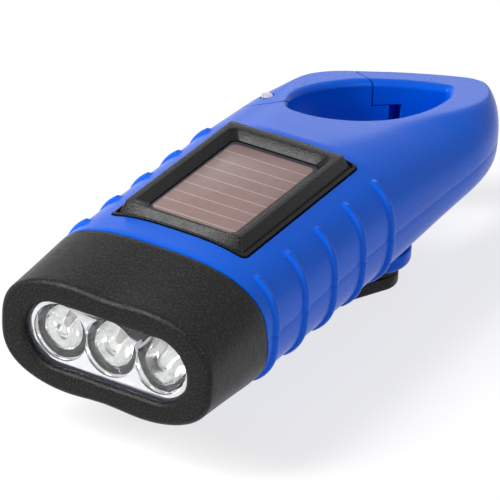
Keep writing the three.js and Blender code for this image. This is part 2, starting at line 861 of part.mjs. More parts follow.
function housingScrew(x, y) {
  const seat = screwSeat() - fit;
  const shank = rod(x, y, seat - screwHeadHeight / 2, screwReach, screwRadius);
  const head = rod(x, y, seat - screwHeadHeight, seat, screwHeadRadius);
  const slotHalf = screwRadius / 4;
  const cross = box([x - screwRadius, y - slotHalf, seat - 2 * screwHeadHeight],
    [x + screwRadius, y + slotHalf, seat - screwHeadHeight / 2]);
  return shank.add(head).subtract(cross);
}

// Lamp

function lens() {
  const shape = stadium(windowHalfWidth + lensLip, windowHalfHeight + lensLip);
  return uprightPrism(shape, lensBack() - lensThickness, lensBack());
}

function lensBack() {
  return faceWall + fit / 2 + lensThickness;
}

function lensSeal() {
  const shape = stadium(windowHalfWidth + lensLip, windowHalfHeight + lensLip);
  shape.holes.push(stadium(windowHalfWidth, windowHalfHeight));
  const front = lensBack() + fit / 2;
  return uprightPrism(shape, front, front + sealThickness);
}

function ledCentres() {
  return [-ledPitch, 0, ledPitch];
}

function turnedAlongY(profile, x) {
  const points = profile.map(([radius, y]) => new THREE.Vector2(radius, y));
  const geometry = new THREE.LatheGeometry(points, 14);
  geometry.translate(x, 0, -faceSink);
  return solid(geometry);
}

function reflector() {
  const front = lensBack() + fit / 2;
  const rim = uprightPrism(stadium(windowHalfWidth - fit, windowHalfHeight - fit), front, reflectorBack);
  const outline = stadium(windowHalfWidth + lensLip, windowHalfHeight + lensLip);
  const flange = uprightPrism(outline, reflectorBack - shellWall, reflectorBack);
  const bore = ledRadius + fit;
  let cups = rim.add(flange);
  for (const x of ledCentres()) {
    const depth = reflectorBack - reflectorWall - front;
    const profile = [[0, front - overrun], [cupMouthRadius, front - overrun], [cupMouthRadius, front]];
    for (const share of [0.5, 1]) {
      const radius = THREE.MathUtils.lerp(bore, cupMouthRadius, Math.sqrt(1 - share));
      profile.push([radius, front + depth * share]);
    }
    profile.push([bore, reflectorBack + overrun], [0, reflectorBack + overrun]);
    cups = cups.subtract(turnedAlongY(profile, x));
  }
  return cups;
}

function led(x) {
  const dome = [];
  for (let i = 0; i <= 3; i += 1) {
    const angle = (i / 3) * quarter;
    dome.push([ledRadius * Math.sin(angle), ledFront + ledDomeDepth * (1 - Math.cos(angle))]);
  }
  const rimFront = ledBack - ledRimThickness;
  const rim = [[ledRimRadius, rimFront], [ledRimRadius, ledBack], [0, ledBack]];
  return turnedAlongY([...dome, [ledRadius, rimFront], ...rim], x);
}

function lampBoard() {
  const front = ledBack + fit;
  const outline = stadium(windowHalfWidth - lampBoardInset, windowHalfHeight - fit / 2);
  return uprightPrism(outline, front, front + lampBoardThickness);
}

// Solar bezel and panel

function bezelOutline(grow) {
  return roundedRectangle(
    -bezelHalfWidth - grow, bezelHalfWidth + grow, bezelFront - grow, bezelBack + grow, bezelCorner + grow);
}

function bezelRing(level, inset, radius) {
  const shape = roundedRectangle(
    -bezelHalfWidth + inset, bezelHalfWidth - inset, bezelFront + inset, bezelBack - inset, radius);
  return shape.getPoints(3).slice(0, -1).map(({ x, y }) => new THREE.Vector3(x, y, level));
}

function solarBezel() {
  const lipTop = bezelBaseLevel + bezelLip;
  const rings = [
    bezelRing(bezelBaseLevel, 0, bezelCorner),
    bezelRing(lipTop, 0, bezelCorner),
    bezelRing(lipTop + bezelEase, bezelEase, bezelCorner - bezelEase / 2),
    bezelRing(bezelTop, bezelBevelRun, bezelCorner / 2),
  ];
  const side = bezelHalfWidth - bezelBevelRun - bezelRimSide;
  const front = bezelFront + bezelBevelRun + bezelRimEnd;
  const back = bezelBack - bezelBevelRun - bezelRimEnd;
  const opening = roundedRectangle(-side, side, front, back, bezelOpeningCorner);
  return loft(rings).subtract(prism(opening, bezelBaseLevel - overrun, bezelTop + overrun));
}

function solarPanel() {
  return prism(panelOutline(0), panelSeat + fit, panelSeat + fit + panelThickness);
}

// Crank, drawn along +Y from the hub and turned by its group

function axisX(low, high, y, z, radius, sides = sidesSmall) {
  const geometry = new THREE.CylinderGeometry(radius, radius, high - low, sides);
  geometry.rotateZ(quarter);
  geometry.translate((low + high) / 2, y, z);
  return solid(geometry);
}

function hubFloor() {
  return -undersideDepth - fit - hubThickness;
}

function crankHub() {
  const flange = rod(0, 0, hubFloor(), -undersideDepth - fit, hubRadius, sidesFine);
  const lugTop = hubFloor() + hubThickness / 2;
  const lug = box([-hubLugHalfWidth, -hubLugRadius, -foldPinLevel], [hubLugHalfWidth, hubLugRadius, lugTop]);
  const eye = axisX(-hubLugHalfWidth, hubLugHalfWidth, 0, -foldPinLevel, hubLugRadius, 16);
  const pinHole = axisX(-armHalfWidth, armHalfWidth, 0, -foldPinLevel, foldPinRadius + fit);
  const socket = rod(0, 0, -foldPinLevel + hubLugRadius, 0, axleRadius + fit);
  return join(flange, lug, eye).subtract(pinHole).subtract(socket);
}

function crankArm() {
  const bottom = -armTop - armThickness;
  const outline = new THREE.Shape();
  outline.moveTo(-armHalfWidth, 0);
  outline.lineTo(armHalfWidth, 0);
  outline.absarc(0, crankRadius, armHalfWidth, 0, Math.PI);
  outline.closePath();
  const plate = prism(outline, bottom, -armTop);
  const eyes = axisX(-armHalfWidth, armHalfWidth, 0, -foldPinLevel, hubLugRadius, 16);
  const slotHalf = hubLugHalfWidth + fit;
  const slotEnd = hubLugRadius + 3 * fit;
  const slot = box([-slotHalf, -overrun, bottom - overrun], [slotHalf, slotEnd, 0]);
  const neck = rod(0, crankRadius, -armTop - armThickness / 2, -armTop + armNeckHeight, armNeckRadius, 20);
  const past = armHalfWidth + overrun;
  const pinHole = axisX(-past, past, 0, -foldPinLevel, foldPinRadius + fit);
  const knobHole = rod(0, crankRadius, bottom - overrun, 0, knobPinRadius + fit);
  return join(plate, eyes, neck).subtract(slot).subtract(pinHole).subtract(knobHole);
}

function knobBottom() {
  return -armTop + armNeckHeight + fit;
}

function crankKnob() {
  const low = knobBottom();
  const high = low + knobHeight;
  const bore = knobPinRadius + fit;
  const sunk = knobPinHeadRadius + fit;
  const sunkLevel = high - knobPinHeadHeight - fit;
  const profile = [[bore, low], [knobRadius - knobRound, low]];
  for (const share of [0.5, 1]) {
    const angle = share * quarter;
    profile.push([knobRadius - knobRound * (1 - Math.sin(angle)), low + knobRound * (1 - Math.cos(angle))]);
  }
  const edge = knobRound / 3;
  profile.push([knobRadius, high - edge], [knobRadius - edge, high], [sunk, high]);
  profile.push([sunk, sunkLevel], [bore, sunkLevel], [bore, low]);
  return lathe(profile, 0, crankRadius);
}

function knobPin() {
  const headTop = knobBottom() + knobHeight - fit / 2;
  const bottom = -armTop - armThickness + fit;
  const shank = rod(0, crankRadius, bottom, headTop - knobPinHeadHeight / 2, knobPinRadius);
  return shank.add(rod(0, crankRadius, headTop - knobPinHeadHeight, headTop, knobPinHeadRadius));
}

function foldPin() {
  const half = armHalfWidth - fit / 2;
  return axisX(-half, half, 0, -foldPinLevel, foldPinRadius);
}

// Gears

function gearTip(teeth) {
  return gearModule * (teeth / 2 + 0.85);
}

function gearShape(teeth, bore, turned) {
  const pitch = (gearModule * teeth) / 2;
  const tip = gearTip(teeth);
  const root = pitch - 1.2 * gearModule;
  const toothAngle = (2 * Math.PI) / teeth;
  const outline = [];
  for (let tooth = 0; tooth < teeth; tooth += 1) {
    const middle = tooth * toothAngle + turned;
    const rootHalf = toothAngle * (0.36 - gearBacklashShare / 4);
    const tipHalf = toothAngle * (0.16 - gearBacklashShare / 4);
    const corners = [[root, -rootHalf], [tip, -tipHalf], [tip, tipHalf], [root, rootHalf]];
    outline.push(...corners.map(([r, a]) => [r * Math.cos(middle + a), r * Math.sin(middle + a)]));
  }
  const shape = polygon(outline);
  const hole = new THREE.Path();
  hole.absarc(0, 0, bore, 0, 2 * Math.PI, true);
  shape.holes.push(hole);
  return shape;
}

function gear(place, teeth, bore, low, high, turned) {
  return prism(gearShape(teeth, bore, turned), low, high, 4, place);
}

// A tooth of one wheel points at the other, whose gap is turned to face it.
function meshTurn(from, to, teeth, gap) {
  const direction = Math.atan2(to[1] - from[1], to[0] - from[0]);
  return direction + (gap ? Math.PI / teeth : 0);
}

function crankGear() {
  const { crank, idler } = gearPlaces();
  const { crankGearLow: low, crankGearHigh: high } = levels;
  const turn = meshTurn(crank, idler, crankTeeth, false);
  const body = gear(crank, crankTeeth, axleRadius + fit, low, high, turn);
  const collar = rod(...crank, -cavityFloor + fit, low + fit, axleRadius + fit + gearHubWall, 16);
  return body.add(collar).subtract(rod(...crank, -cavityFloor, 0, axleRadius + fit));
}

function idlerGear() {
  const { crank, idler, step } = gearPlaces();
  const wheelSpan = [levels.idlerWheelLow, levels.idlerWheelHigh];
  const bore = gearPinRadius + fit;
  const turned = meshTurn(idler, crank, pinionTeeth, true);
  const pinion = gear(idler, pinionTeeth, bore, levels.idlerWheelHigh - fit, levels.crankGearHigh, turned);
  const wheel = gear(idler, wheelTeeth, bore, ...wheelSpan, meshTurn(idler, step, wheelTeeth, false));
  const foot = rod(...idler, -cavityFloor + fit, levels.idlerWheelLow + fit, bore + gearHubWall);
  return pinion.add(wheel).add(foot).subtract(rod(...idler, -cavityFloor, 0, bore));
}

function stepGear() {
  const { idler, step, rotor } = gearPlaces();
  const wheelSpan = [levels.stepWheelLow, levels.stepWheelHigh];
  const bore = gearPinRadius + fit;
  const turned = meshTurn(step, idler, pinionTeeth, true);
  const pinion = gear(step, pinionTeeth, bore, levels.stepWheelHigh - fit, levels.idlerWheelHigh, turned);
  const wheel = gear(step, wheelTeeth, bore, ...wheelSpan, meshTurn(step, rotor, wheelTeeth, false));
  const top = rod(...step, levels.idlerWheelHigh - fit, levels.plateLow - fit, bore + gearHubWall);
  return pinion.add(wheel).add(top).subtract(rod(...step, -cavityFloor, 0, bore));
}

function rotorPinion() {
  const { step, rotor } = gearPlaces();
  const { stepWheelLow: low, stepWheelHigh: high } = levels;
  const turned = meshTurn(rotor, step, pinionTeeth, true);
  return gear(rotor, pinionTeeth, rotorShaftRadius + fit, low - fit / 2, high + fit, turned);
}

function generatorRotor() {
  const { rotor } = gearPlaces();
  const shaft = rod(...rotor, levels.stepWheelLow, levels.canHigh - canWall - fit, rotorShaftRadius);
  const spare = canWall + 2 * fit;
  const magnet = rod(...rotor, levels.idlerWheelLow + spare, levels.canHigh - spare, magnetRadius, 20);
  return shaft.add(magnet);
}

function generatorCan() {
  const { rotor } = gearPlaces();
  const { idlerWheelLow: low, canHigh: high } = levels;
  const outer = rod(...rotor, low, high, canRadius, sidesFine);
  const room = rod(...rotor, low + canWall, high - canWall, canRadius - canWall, 20);
  const hole = rod(...rotor, low - overrun, low + overrun, rotorShaftRadius + fit);
  return outer.subtract(room).subtract(hole);
}

function generatorCoil() {
  const { rotor } = gearPlaces();
  const low = levels.idlerWheelLow + canWall + fit;
  const high = levels.canHigh - canWall - fit;
  const outer = rod(...rotor, low, high, canRadius - canWall - fit, 20);
  return outer.subtract(rod(...rotor, low - overrun, high + overrun, magnetRadius + fit, 24));
}

function gearPin(place) {
  return rod(...place, -cavityFloor - shellWall / 2 + fit, levels.plateHigh, gearPinRadius, 12);
}

function crankAxle() {
  const { crank } = gearPlaces();
  return rod(...crank, -foldPinLevel + hubLugRadius + fit, levels.plateHigh + 3 * fit, axleRadius, 16);
}

function axleClip() {
  const { crank } = gearPlaces();
  const low = levels.plateHigh + fit / 2;
  const ring = rod(...crank, low, low + 2 * fit, axleRadius + shellWall, 16);
  return ring.subtract(rod(...crank, low - overrun, low + overrun, axleRadius + fit / 3, 20));
}

function gearPlate() {
  const { crank, idler, step } = gearPlaces();
  const side = 0.7 * bodyHalfWidth;
  const [front, back] = plateEnds();
  const corner = bossRadius + postRadius;
  const outline = [
    [-side, front], [side, front], [side, back - corner], [side - corner, back], [corner - side, back],
    [-side, back - corner],
  ];
  let plate = prism(polygon(outline), levels.plateLow, levels.plateHigh);
  plate = plate.subtract(rod(...crank, levels.plateLow - overrun, 0, axleRadius + fit));
  for (const place of [idler, step]) {
    plate = plate.subtract(rod(...place, levels.plateLow - overrun, 0, gearPinRadius + fit));
  }
  return plate;
}

// Boards, cell and switch

function circuitBoard() {
  const shape = roundedRectangle(-boardHalfWidth, boardHalfWidth, boardFront, boardBack, boardCorner);
  return prism(shape, levels.boardLow, levels.boardHigh, 2);
}

function coinCell() {
  const low = levels.boardHigh + fit;
  return rod(0, cellY, low, levels.cellHigh, cellRadius, sidesFine);
}

function cellClip() {
  const low = levels.boardHigh;
  const top = levels.cellHigh + fit;
  const half = cellClipHalfWidth;
  const side = cellRadius + fit;
  const roof = box([-half, cellY - side, top], [half, cellY + side + clipSheet, top + clipSheet]);
  const legTop = [half, cellY + side + clipSheet, top + clipSheet / 2];
  const leg = box([-half, cellY + side, low + fit / 2], legTop);
  return roof.add(leg);
}

function switchPosts() {
  return [[-0.29, buttonY], [0.29, buttonY]].map(([share, y]) => [share * bodyHalfWidth, y]);
}

function switchBoard() {
  const wide = switchBoardHalfWidth;
  const long = switchBoardHalfLength;
  const shape = roundedRectangle(-wide, wide, buttonY - long, buttonY + long, boardCorner);
  return prism(shape, levels.switchBoardLow, levels.switchBoardLow + switchBoardThickness, 2);
}

function tactSwitch() {
  const top = levels.switchBoardLow - fit / 2;
  const low = (top + buttonTop() + buttonTravel) / 2;
  const far = [switchHalfSize, buttonY + switchHalfSize, top];
  const body = box([-switchHalfSize, buttonY - switchHalfSize, low], far);
  return body.add(rod(0, buttonY, buttonTop() + buttonTravel + fit / 2, low + fit, switchStemRadius));
}

function buttonTop() {
  return -cavityFloor + fit / 2 + buttonFlangeThickness;
}

function pushButton() {
  const low = -undersideDepth - buttonProud;
  const flangeHigh = buttonTop();
  const flangeLow = flangeHigh - buttonFlangeThickness;
  const crown = 0.4 * buttonProud;
  const profile = [
    [0, low], [buttonRadius - crown, low], [buttonRadius, low + crown], [buttonRadius, flangeLow],
    [buttonRadius + buttonFlange, flangeLow], [buttonRadius + buttonFlange, flangeHigh], [0, flangeHigh],
  ];
  return lathe(profile, 0, buttonY);
}

function buttonSpring() {
  const low = buttonTop() + fit / 2;
  const room = levels.switchBoardLow - fit - low - 2 * buttonSpringWire;
  const turns = 3;
  return coil(0, buttonY, low, buttonSpringRadius, buttonSpringWire, room / turns, turns, 0);
}

function gateSpring() {
  const low = tongueHalfThickness + fit;
  return coil(gatePinX, gatePinY, low, gateSpringRadius, gateSpringWire, gateSpringPitch, 2, gateSpringLeg);
}

// Assembly

function crankGroup() {
  const group = new THREE.Group();
  group.position.set(0, hubY, 0);
  group.rotation.z = THREE.MathUtils.degToRad(-crankSwing);
  group.add(piece('crank_hub', crankHub(), blackPlastic));
  group.add(piece('crank_arm', crankArm(), blackPlastic));
  group.add(piece('fold_pin', foldPin(), steel));
  group.add(piece('crank_knob', crankKnob(), bluePlastic));
  group.add(piece('knob_pin', knobPin(), steel));
  return group;
}

function casing(group) {
  const { outer, hollow } = hollowHousing();
  group.add(piece('top_shell', topShell(hollow), bluePlastic));
  group.add(piece('bottom_shell', bottomShell(hollow), bluePlastic));
  group.add(piece('head_bezel', headBezel(), blackPlastic));
  group.add(piece('gate', gate(outer), bluePlastic));
  group.add(piece('gate_pin', gatePin(), steel));
  group.add(piece('gate_spring', gateSpring(), steel));
  screwPlaces().forEach(([x, y], i) => {
    group.add(piece(`housing_screw_${i + 1}`, housingScrew(x, y), steel));
  });
}

function lamp(group) {
  group.add(piece('lens', lens(), clearPlastic));
  group.add(piece('lens_seal', lensSeal(), rubber));
  group.add(piece('reflector', reflector(), chrome));
  ledCentres().forEach((x, i) => {
    group.add(piece(`led_${['left', 'centre', 'right'][i]}`, led(x), clearPlastic));
  });
  group.add(piece('lamp_board', lampBoard(), boardGreen));
}

function power(group) {
  group.add(piece('solar_bezel', solarBezel(), blackGloss));
  group.add(piece('solar_panel', solarPanel(), solarCell));
  group.add(piece('circuit_board', circuitBoard(), boardGreen));
  group.add(piece('coin_cell', coinCell(), steel));
  group.add(piece('cell_clip', cellClip(), steel));
  group.add(piece('push_button', pushButton(), blackPlastic));
  group.add(piece('button_spring', buttonSpring(), steel));
  group.add(piece('tact_switch', tactSwitch(), blackPlastic));
  group.add(piece('switch_board', switchBoard(), boardGreen));
}

function drive(group) {
  const { idler, step } = gearPlaces();
  group.add(piece('crank_axle', crankAxle(), steel));
  group.add(piece('axle_clip', axleClip(), steel));
  group.add(piece('crank_gear', crankGear(), whitePlastic));
  group.add(piece('idler_gear', idlerGear(), whitePlastic));
  group.add(piece('idler_pin', gearPin(idler), steel));
  group.add(piece('step_gear', stepGear(), whitePlastic));
  group.add(piece('step_pin', gearPin(step), steel));
  group.add(piece('rotor_pinion', rotorPinion(), whitePlastic));
  group.add(piece('generator_rotor', generatorRotor(), steel));
  group.add(piece('generator_can', generatorCan(), steel));
  group.add(piece('generator_coil', generatorCoil(), copper));
  group.add(piece('gear_plate', gearPlate(), whitePlastic));
}

const flashlight = new THREE.Group();
flashlight.position.set(0, -bodyLength / 2, armTop + armThickness);
casing(flashlight);
lamp(flashlight);
power(flashlight);
drive(flashlight);
flashlight.add(crankGroup());

export default flashlight;
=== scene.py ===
"""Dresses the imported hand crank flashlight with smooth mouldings, clear optics and a studio."""

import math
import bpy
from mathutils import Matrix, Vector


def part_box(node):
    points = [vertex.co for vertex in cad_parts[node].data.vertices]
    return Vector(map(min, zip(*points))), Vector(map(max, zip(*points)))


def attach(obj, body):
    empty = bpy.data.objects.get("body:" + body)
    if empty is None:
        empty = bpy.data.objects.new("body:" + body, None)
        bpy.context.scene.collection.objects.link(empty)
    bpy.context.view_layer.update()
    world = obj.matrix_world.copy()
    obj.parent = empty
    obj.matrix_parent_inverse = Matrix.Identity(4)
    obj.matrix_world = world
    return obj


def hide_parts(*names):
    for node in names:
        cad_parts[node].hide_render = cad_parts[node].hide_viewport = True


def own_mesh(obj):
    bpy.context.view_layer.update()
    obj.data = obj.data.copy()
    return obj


bl_info = {
    "name": "Hand Crank Flashlight",
    "version": (1, 0, 0),
    "blender": (4, 5, 0),
    "location": "3D View > Sidebar > Flashlight",
    "description": "Builds the smooth pieces and finishes of a hand crank flashlight on its packed model",
    "category": "Add Mesh",
}

import bmesh
import bpy
import numpy as np
from bpy.props import FloatProperty, FloatVectorProperty, IntProperty, PointerProperty
from bpy.types import Operator, Panel, PropertyGroup
from mathutils import Matrix, Vector

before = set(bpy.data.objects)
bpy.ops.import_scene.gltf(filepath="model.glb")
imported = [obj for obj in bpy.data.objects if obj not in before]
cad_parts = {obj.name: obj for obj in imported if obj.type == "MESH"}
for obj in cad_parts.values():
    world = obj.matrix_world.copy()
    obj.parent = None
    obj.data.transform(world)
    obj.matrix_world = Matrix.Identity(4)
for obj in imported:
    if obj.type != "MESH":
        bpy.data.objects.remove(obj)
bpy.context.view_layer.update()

# The drawing is in millimetres, with y = 0 at the face and z = 0 on the parting plane.
TO_ROW = Matrix.Translation((0, -0.054, 0.0195)) @ Matrix.Scale(0.001, 4)
QUARTER = math.pi / 2

# The point that the soft lights face, in metres.
AIM = Vector((0, 0, 0.015))

# The rest is in the drawing's millimetres. A level that no section reaches, and one past the shells.
FAR = 60.0
THROUGH = 16.0

# Where a side rib ends, as a share of a quarter turn, and how wide the head's waist spreads.
RIB_REACH = 0.455
WAIST_SPREAD = 6.0

# The gate's pin, from the body's left edge and the tail's start, its nose in shares of half the width
# and of the tail's length, and half the heights of its tab and of the tongue between its lugs.
PIN_PLACE = (5.5, 15)
NOSE_SHARES = (-0.151, 0.673)
TAB_HALF_HEIGHT = 3.0
TONGUE_HALF_HEIGHT = 1.8

# Under the body: the button, the screws from its edge and along it, and the level that the arm folds at.
BUTTON_Y = 24.5
SCREW_INSET = 5.3
SCREW_ROWS = (28, 63.5)
FOLD_LEVEL = -16.5

# The head's wall, and half the gap between the head and the shells.
HEAD_WALL = 1.8
SEAM_GAP = 0.1

# The tail from its start to its tip, in shares: place, left edge, right edge, crest, height.
TAIL_SHARES = (
    (0, -1, 1, 0, 1),
    (0.125, -1, 1.005, 0, 0.96),
    (0.25, -1, 1.01, -0.02, 0.915),
    (0.354, -0.985, 1.015, -0.08, 0.88),
    (0.4375, -0.92, 1.02, -0.2, 0.875),
    (0.52, -0.825, 1.0225, -0.33, 0.878),
    (0.604, -0.71, 1.02, -0.35, 0.88),
    (0.677, -0.575, 1.005, -0.22, 0.86),
    (0.75, -0.385, 0.975, 0, 0.82),
    (0.8125, -0.205, 0.93, 0.15, 0.78),
    (0.8646, -0.035, 0.87, 0.28, 0.73),
    (0.906, 0.11, 0.81, 0.37, 0.67),
    (0.9417, 0.245, 0.74, 0.45, 0.6),
    (0.969, 0.35, 0.665, 0.5, 0.52),
    (0.9875, 0.43, 0.6, 0.515, 0.42),
    (1, 0.495, 0.548, 0.52, 0.26),
)

# The carabiner's hole, in shares of half the width and of the tail's length.
HOLE_SHARES = (
    (-0.548, 0.302), (-0.43, 0.215), (-0.176, 0.202), (0.141, 0.258), (0.402, 0.373),
    (0.523, 0.5), (0.568, 0.646), (0.538, 0.771), (0.417, 0.845), (0.236, 0.819),
    (-0.05, 0.748), (-0.317, 0.644), (-0.508, 0.498), (-0.568, 0.385),
)


# Sizes and colours that a user would change


def length(name, description, default):
    """A length that a user can change."""
    return FloatProperty(
        name=name, description=description, default=default, min=0, unit="LENGTH", precision=5,
    )


def colour(name, description, default):
    """A colour that a user can change."""
    return FloatVectorProperty(
        name=name, description=description, default=default, size=3, min=0, max=1, subtype="COLOR",
    )


def watts(name, description, default):
    """A light's power that a user can change."""
    return FloatProperty(name=name, description=description, default=default, min=0, unit="POWER")


class BodySizes(PropertyGroup):
    body_length: length("Length", "Length from the face to the tip of the tail", 0.108)
    half_width: length("Half width", "Half the width of the straight body", 0.0199)
    half_height: length("Half height", "Half the height of the straight body", 0.0123)
    underside: length("Underside depth", "Depth of the flat underside below the parting plane", 0.0118)
    wall: length("Wall", "Thickness of the shells' wall", 0.0016)
    rib_radius: length("Rib radius", "Radius of the rounded side ribs", 0.00085)
    rib_height: length("Rib height", "How far the side ribs stand proud", 0.00062)
    rib_pitch: length("Rib pitch", "Distance from one side rib to the next", 0.0095)
    first_rib: length("First rib", "Distance of the first side rib from the face", 0.0202)
    rib_count: IntProperty(name="Ribs", description="Side ribs on each side", default=5, min=1, max=9)
    parting_gap: length("Parting gap", "Gap between the two shells", 0.00004)
    power: FloatProperty(
        name="Squareness", description="Power of the body's superellipse section", default=2.8, min=2,
    )


class HeadSizes(PropertyGroup):
    face_half_width: length("Face half width", "Half the width of the face", 0.0197)
    face_half_height: length("Face half height", "Half the height of the face", 0.0105)
    face_sink: length("Face drop", "How far the face is centred below the parting plane", 0.00025)
    face_round: length("Face rounding", "Radius of the edge round the face", 0.001)
    waist_dip: length("Waist", "Dip of the outline over the middle lamp", 0.00085)
    window_half_width: length("Window half width", "Half the width of the window", 0.0151)
    window_half_height: length("Window half height", "Half the height of the window", 0.00585)
    seam_top: length("Seam at the top", "Distance of the head's seam from the face, on top", 0.0155)
    seam_bottom: length("Seam at the bottom", "Distance of the head's seam from the face, below", 0.0195)
    window_round: length("Window rounding", "Radius of the window's front edge", 0.0009)


class TailSizes(PropertyGroup):
    tail_start: length("Tail start", "Distance of the tail's start from the face", 0.060)
    tip_half_height: length("Tip half height", "Half the height of the rim at the tip", 0.006)
    hole_fillet: length("Hole rounding", "Radius of the edge round the carabiner's hole", 0.0013)
    eye_radius: length("Gate eye radius", "Radius of the round end of the gate", 0.0048)
    pin_radius: length("Gate pin radius", "Radius of the gate's pin", 0.001)
    clearance: length("Clearance", "Gap between the gate and the shells", 0.0003)
    tab_length: length("Gate tab length", "How far the gate's tab reaches past its joint", 0.0031)


class LampSizes(PropertyGroup):
    led_pitch: length("Lamp pitch", "Distance from one lamp to the next", 0.0091)
    led_radius: length("Lamp radius", "Radius of a lamp's clear body", 0.00343)
    led_front: length("Lamp front", "Distance of a lamp's front from the face", 0.0023)
    dome_depth: length("Lamp dome", "Depth of the domed front of a lamp", 0.0012)
    cup_radius: length("Cup radius", "Radius of a reflector cup's mouth", 0.0048)


class SolarSizes(PropertyGroup):
    half_width: length("Half width", "Half the width of the frame round the panel", 0.0126)
    front: length("Front", "Distance of the frame's front edge from the face", 0.0216)
    back: length("Back", "Distance of the frame's back edge from the face", 0.0586)
    top: length("Top", "Level of the frame's rim above the parting plane", 0.01344)
    base: length("Base", "Level of the frame's base above the parting plane", 0.0103)
    bevel: length("Bevel", "Run of the slope round the frame", 0.0017)
    ledge: length("Ledge", "Width of the narrow flange round the frame", 0.00085)
    draft: length("Draft", "How far the frame's inner walls lean in down to the panel", 0.00135)
    panel_top: length("Panel level", "Level of the panel above the parting plane", 0.0119)


class CrankSizes(PropertyGroup):
    hub_y: length("Hub", "Distance of the crank's hub from the face", 0.0572)
    swing: FloatProperty(
        name="Swing", description="Turn of the folded crank at rest", default=math.radians(26),
        subtype="ANGLE",
    )
    reach: length("Reach", "Distance from the hub's axis to the knob's", 0.0191)
    arm_half_width: length("Arm half width", "Half the width of the arm", 0.0045)
    knob_radius: length("Knob radius", "Radius of the knob", 0.0065)


class Finishes(PropertyGroup):
    housing: colour("Housing", "Colour of the blue mouldings", (0.0, 0.108, 0.70))
    head: colour("Head", "Colour of the black head", (0.006, 0.0058, 0.0056))
    bezel: colour("Frame", "Colour of the frame round the panel", (0.004, 0.004, 0.0045))
    cell: colour("Cells", "Colour of the solar cells", (0.29, 0.197, 0.185))
    cell_line: colour("Cell lines", "Colour of the lines between the cells", (0.50, 0.40, 0.37))
    border: colour("Panel border", "Colour of the border round the cells", (0.055, 0.055, 0.068))
    crank: colour("Crank", "Colour of the black crank", (0.009, 0.009, 0.0095))
    seal: colour("Seal", "Colour of the seal round the lens", (0.010, 0.018, 0.11))
    steel: colour("Steel", "Colour of the screws and pins", (0.56, 0.57, 0.59))
    gears: colour("Gears", "Colour of the moulded gears", (0.80, 0.79, 0.74))
    board: colour("Boards", "Colour of the circuit boards", (0.02, 0.13, 0.05))
    copper: colour("Copper", "Colour of the generator's coil", (0.60, 0.25, 0.10))


class StageSizes(PropertyGroup):
    floor_size: length("Floor", "Side of the floor", 4.0)
    key_power: watts("Key light", "Power of the tall softbox in front", 9.0)
    side_power: watts("Side light", "Power of the softbox on the right", 1.3)
    back_power: watts("Back light", "Power of the softbox behind", 0.45)
    world_strength: FloatProperty(
        name="Surround", description="Strength of the even surround light", default=0.2, min=0,
    )


def mm(value):
    """A size in metres in the drawing's millimetres."""
    return value * 1000.0


def settings():
    """The groups of sizes and colours in the scene."""
    return bpy.context.scene.flashlight


# Curves and sections of the drawing


def table_row(rows, place):
    """A row of a table of shares at a place between its rows, on a smooth curve through them."""
    data = np.array(rows, float)
    x = data[:, 0]
    i = int(np.clip(np.searchsorted(x, place) - 1, 0, len(x) - 2))
    slope = np.diff(data, axis=0) / np.diff(x)[:, None]
    tangent = np.vstack([slope[:1], (slope[1:] + slope[:-1]) / 2, slope[-1:]])
    step = x[i + 1] - x[i]
    t = (place - x[i]) / step
    low = data[i] * (1 + 2 * t) * (1 - t) ** 2 + tangent[i] * step * t * (1 - t) ** 2
    high = data[i + 1] * t * t * (3 - 2 * t) + tangent[i + 1] * step * t * t * (t - 1)
    return low + high


def on_the_way(a, b, start, end, t):
    """The point at t on the straight way from a at start to b at end."""
    return a * (end - t) / (end - start) + b * (t - start) / (end - start)


def closed_curve(spots, count):
    """Evenly spaced points and tangents on a closed smooth curve through the spots."""
    spots = np.array(spots, float)
    fine = []
    total = len(spots)
    for i in range(total):
        near = [spots[(i + k) % total] for k in (-1, 0, 1, 2)]
        knots = np.cumsum([0] + [np.linalg.norm(near[k + 1] - near[k]) ** 0.5 for k in range(3)])
        for t in np.linspace(knots[1], knots[2], 24, endpoint=False):
            three = [on_the_way(near[k], near[k + 1], knots[k], knots[k + 1], t) for k in range(3)]
            two = [on_the_way(three[k], three[k + 1], knots[k], knots[k + 2], t) for k in range(2)]
            fine.append(on_the_way(*two, knots[1], knots[2], t))
    fine = np.array(fine)
    steps = np.linalg.norm(np.roll(fine, -1, 0) - fine, axis=1)
    along = np.concatenate([[0], np.cumsum(steps)])
    wanted = np.linspace(0, along[-1], count, endpoint=False)
    looped = np.vstack([fine, fine[:1]])
    points = np.stack([np.interp(wanted, along, looped[:, k]) for k in range(2)], 1)
    tangents = np.roll(points, -1, 0) - np.roll(points, 1, 0)
    return points, tangents / np.linalg.norm(tangents, axis=1)[:, None]


def soft_min(a, b, blend):
    """The smaller of two levels, with the crease between them rounded."""
    if blend <= 0:
        return min(a, b)
    overlap = max(0.0, blend - abs(a - b))
    return min(a, b) - overlap * overlap / (4 * blend)


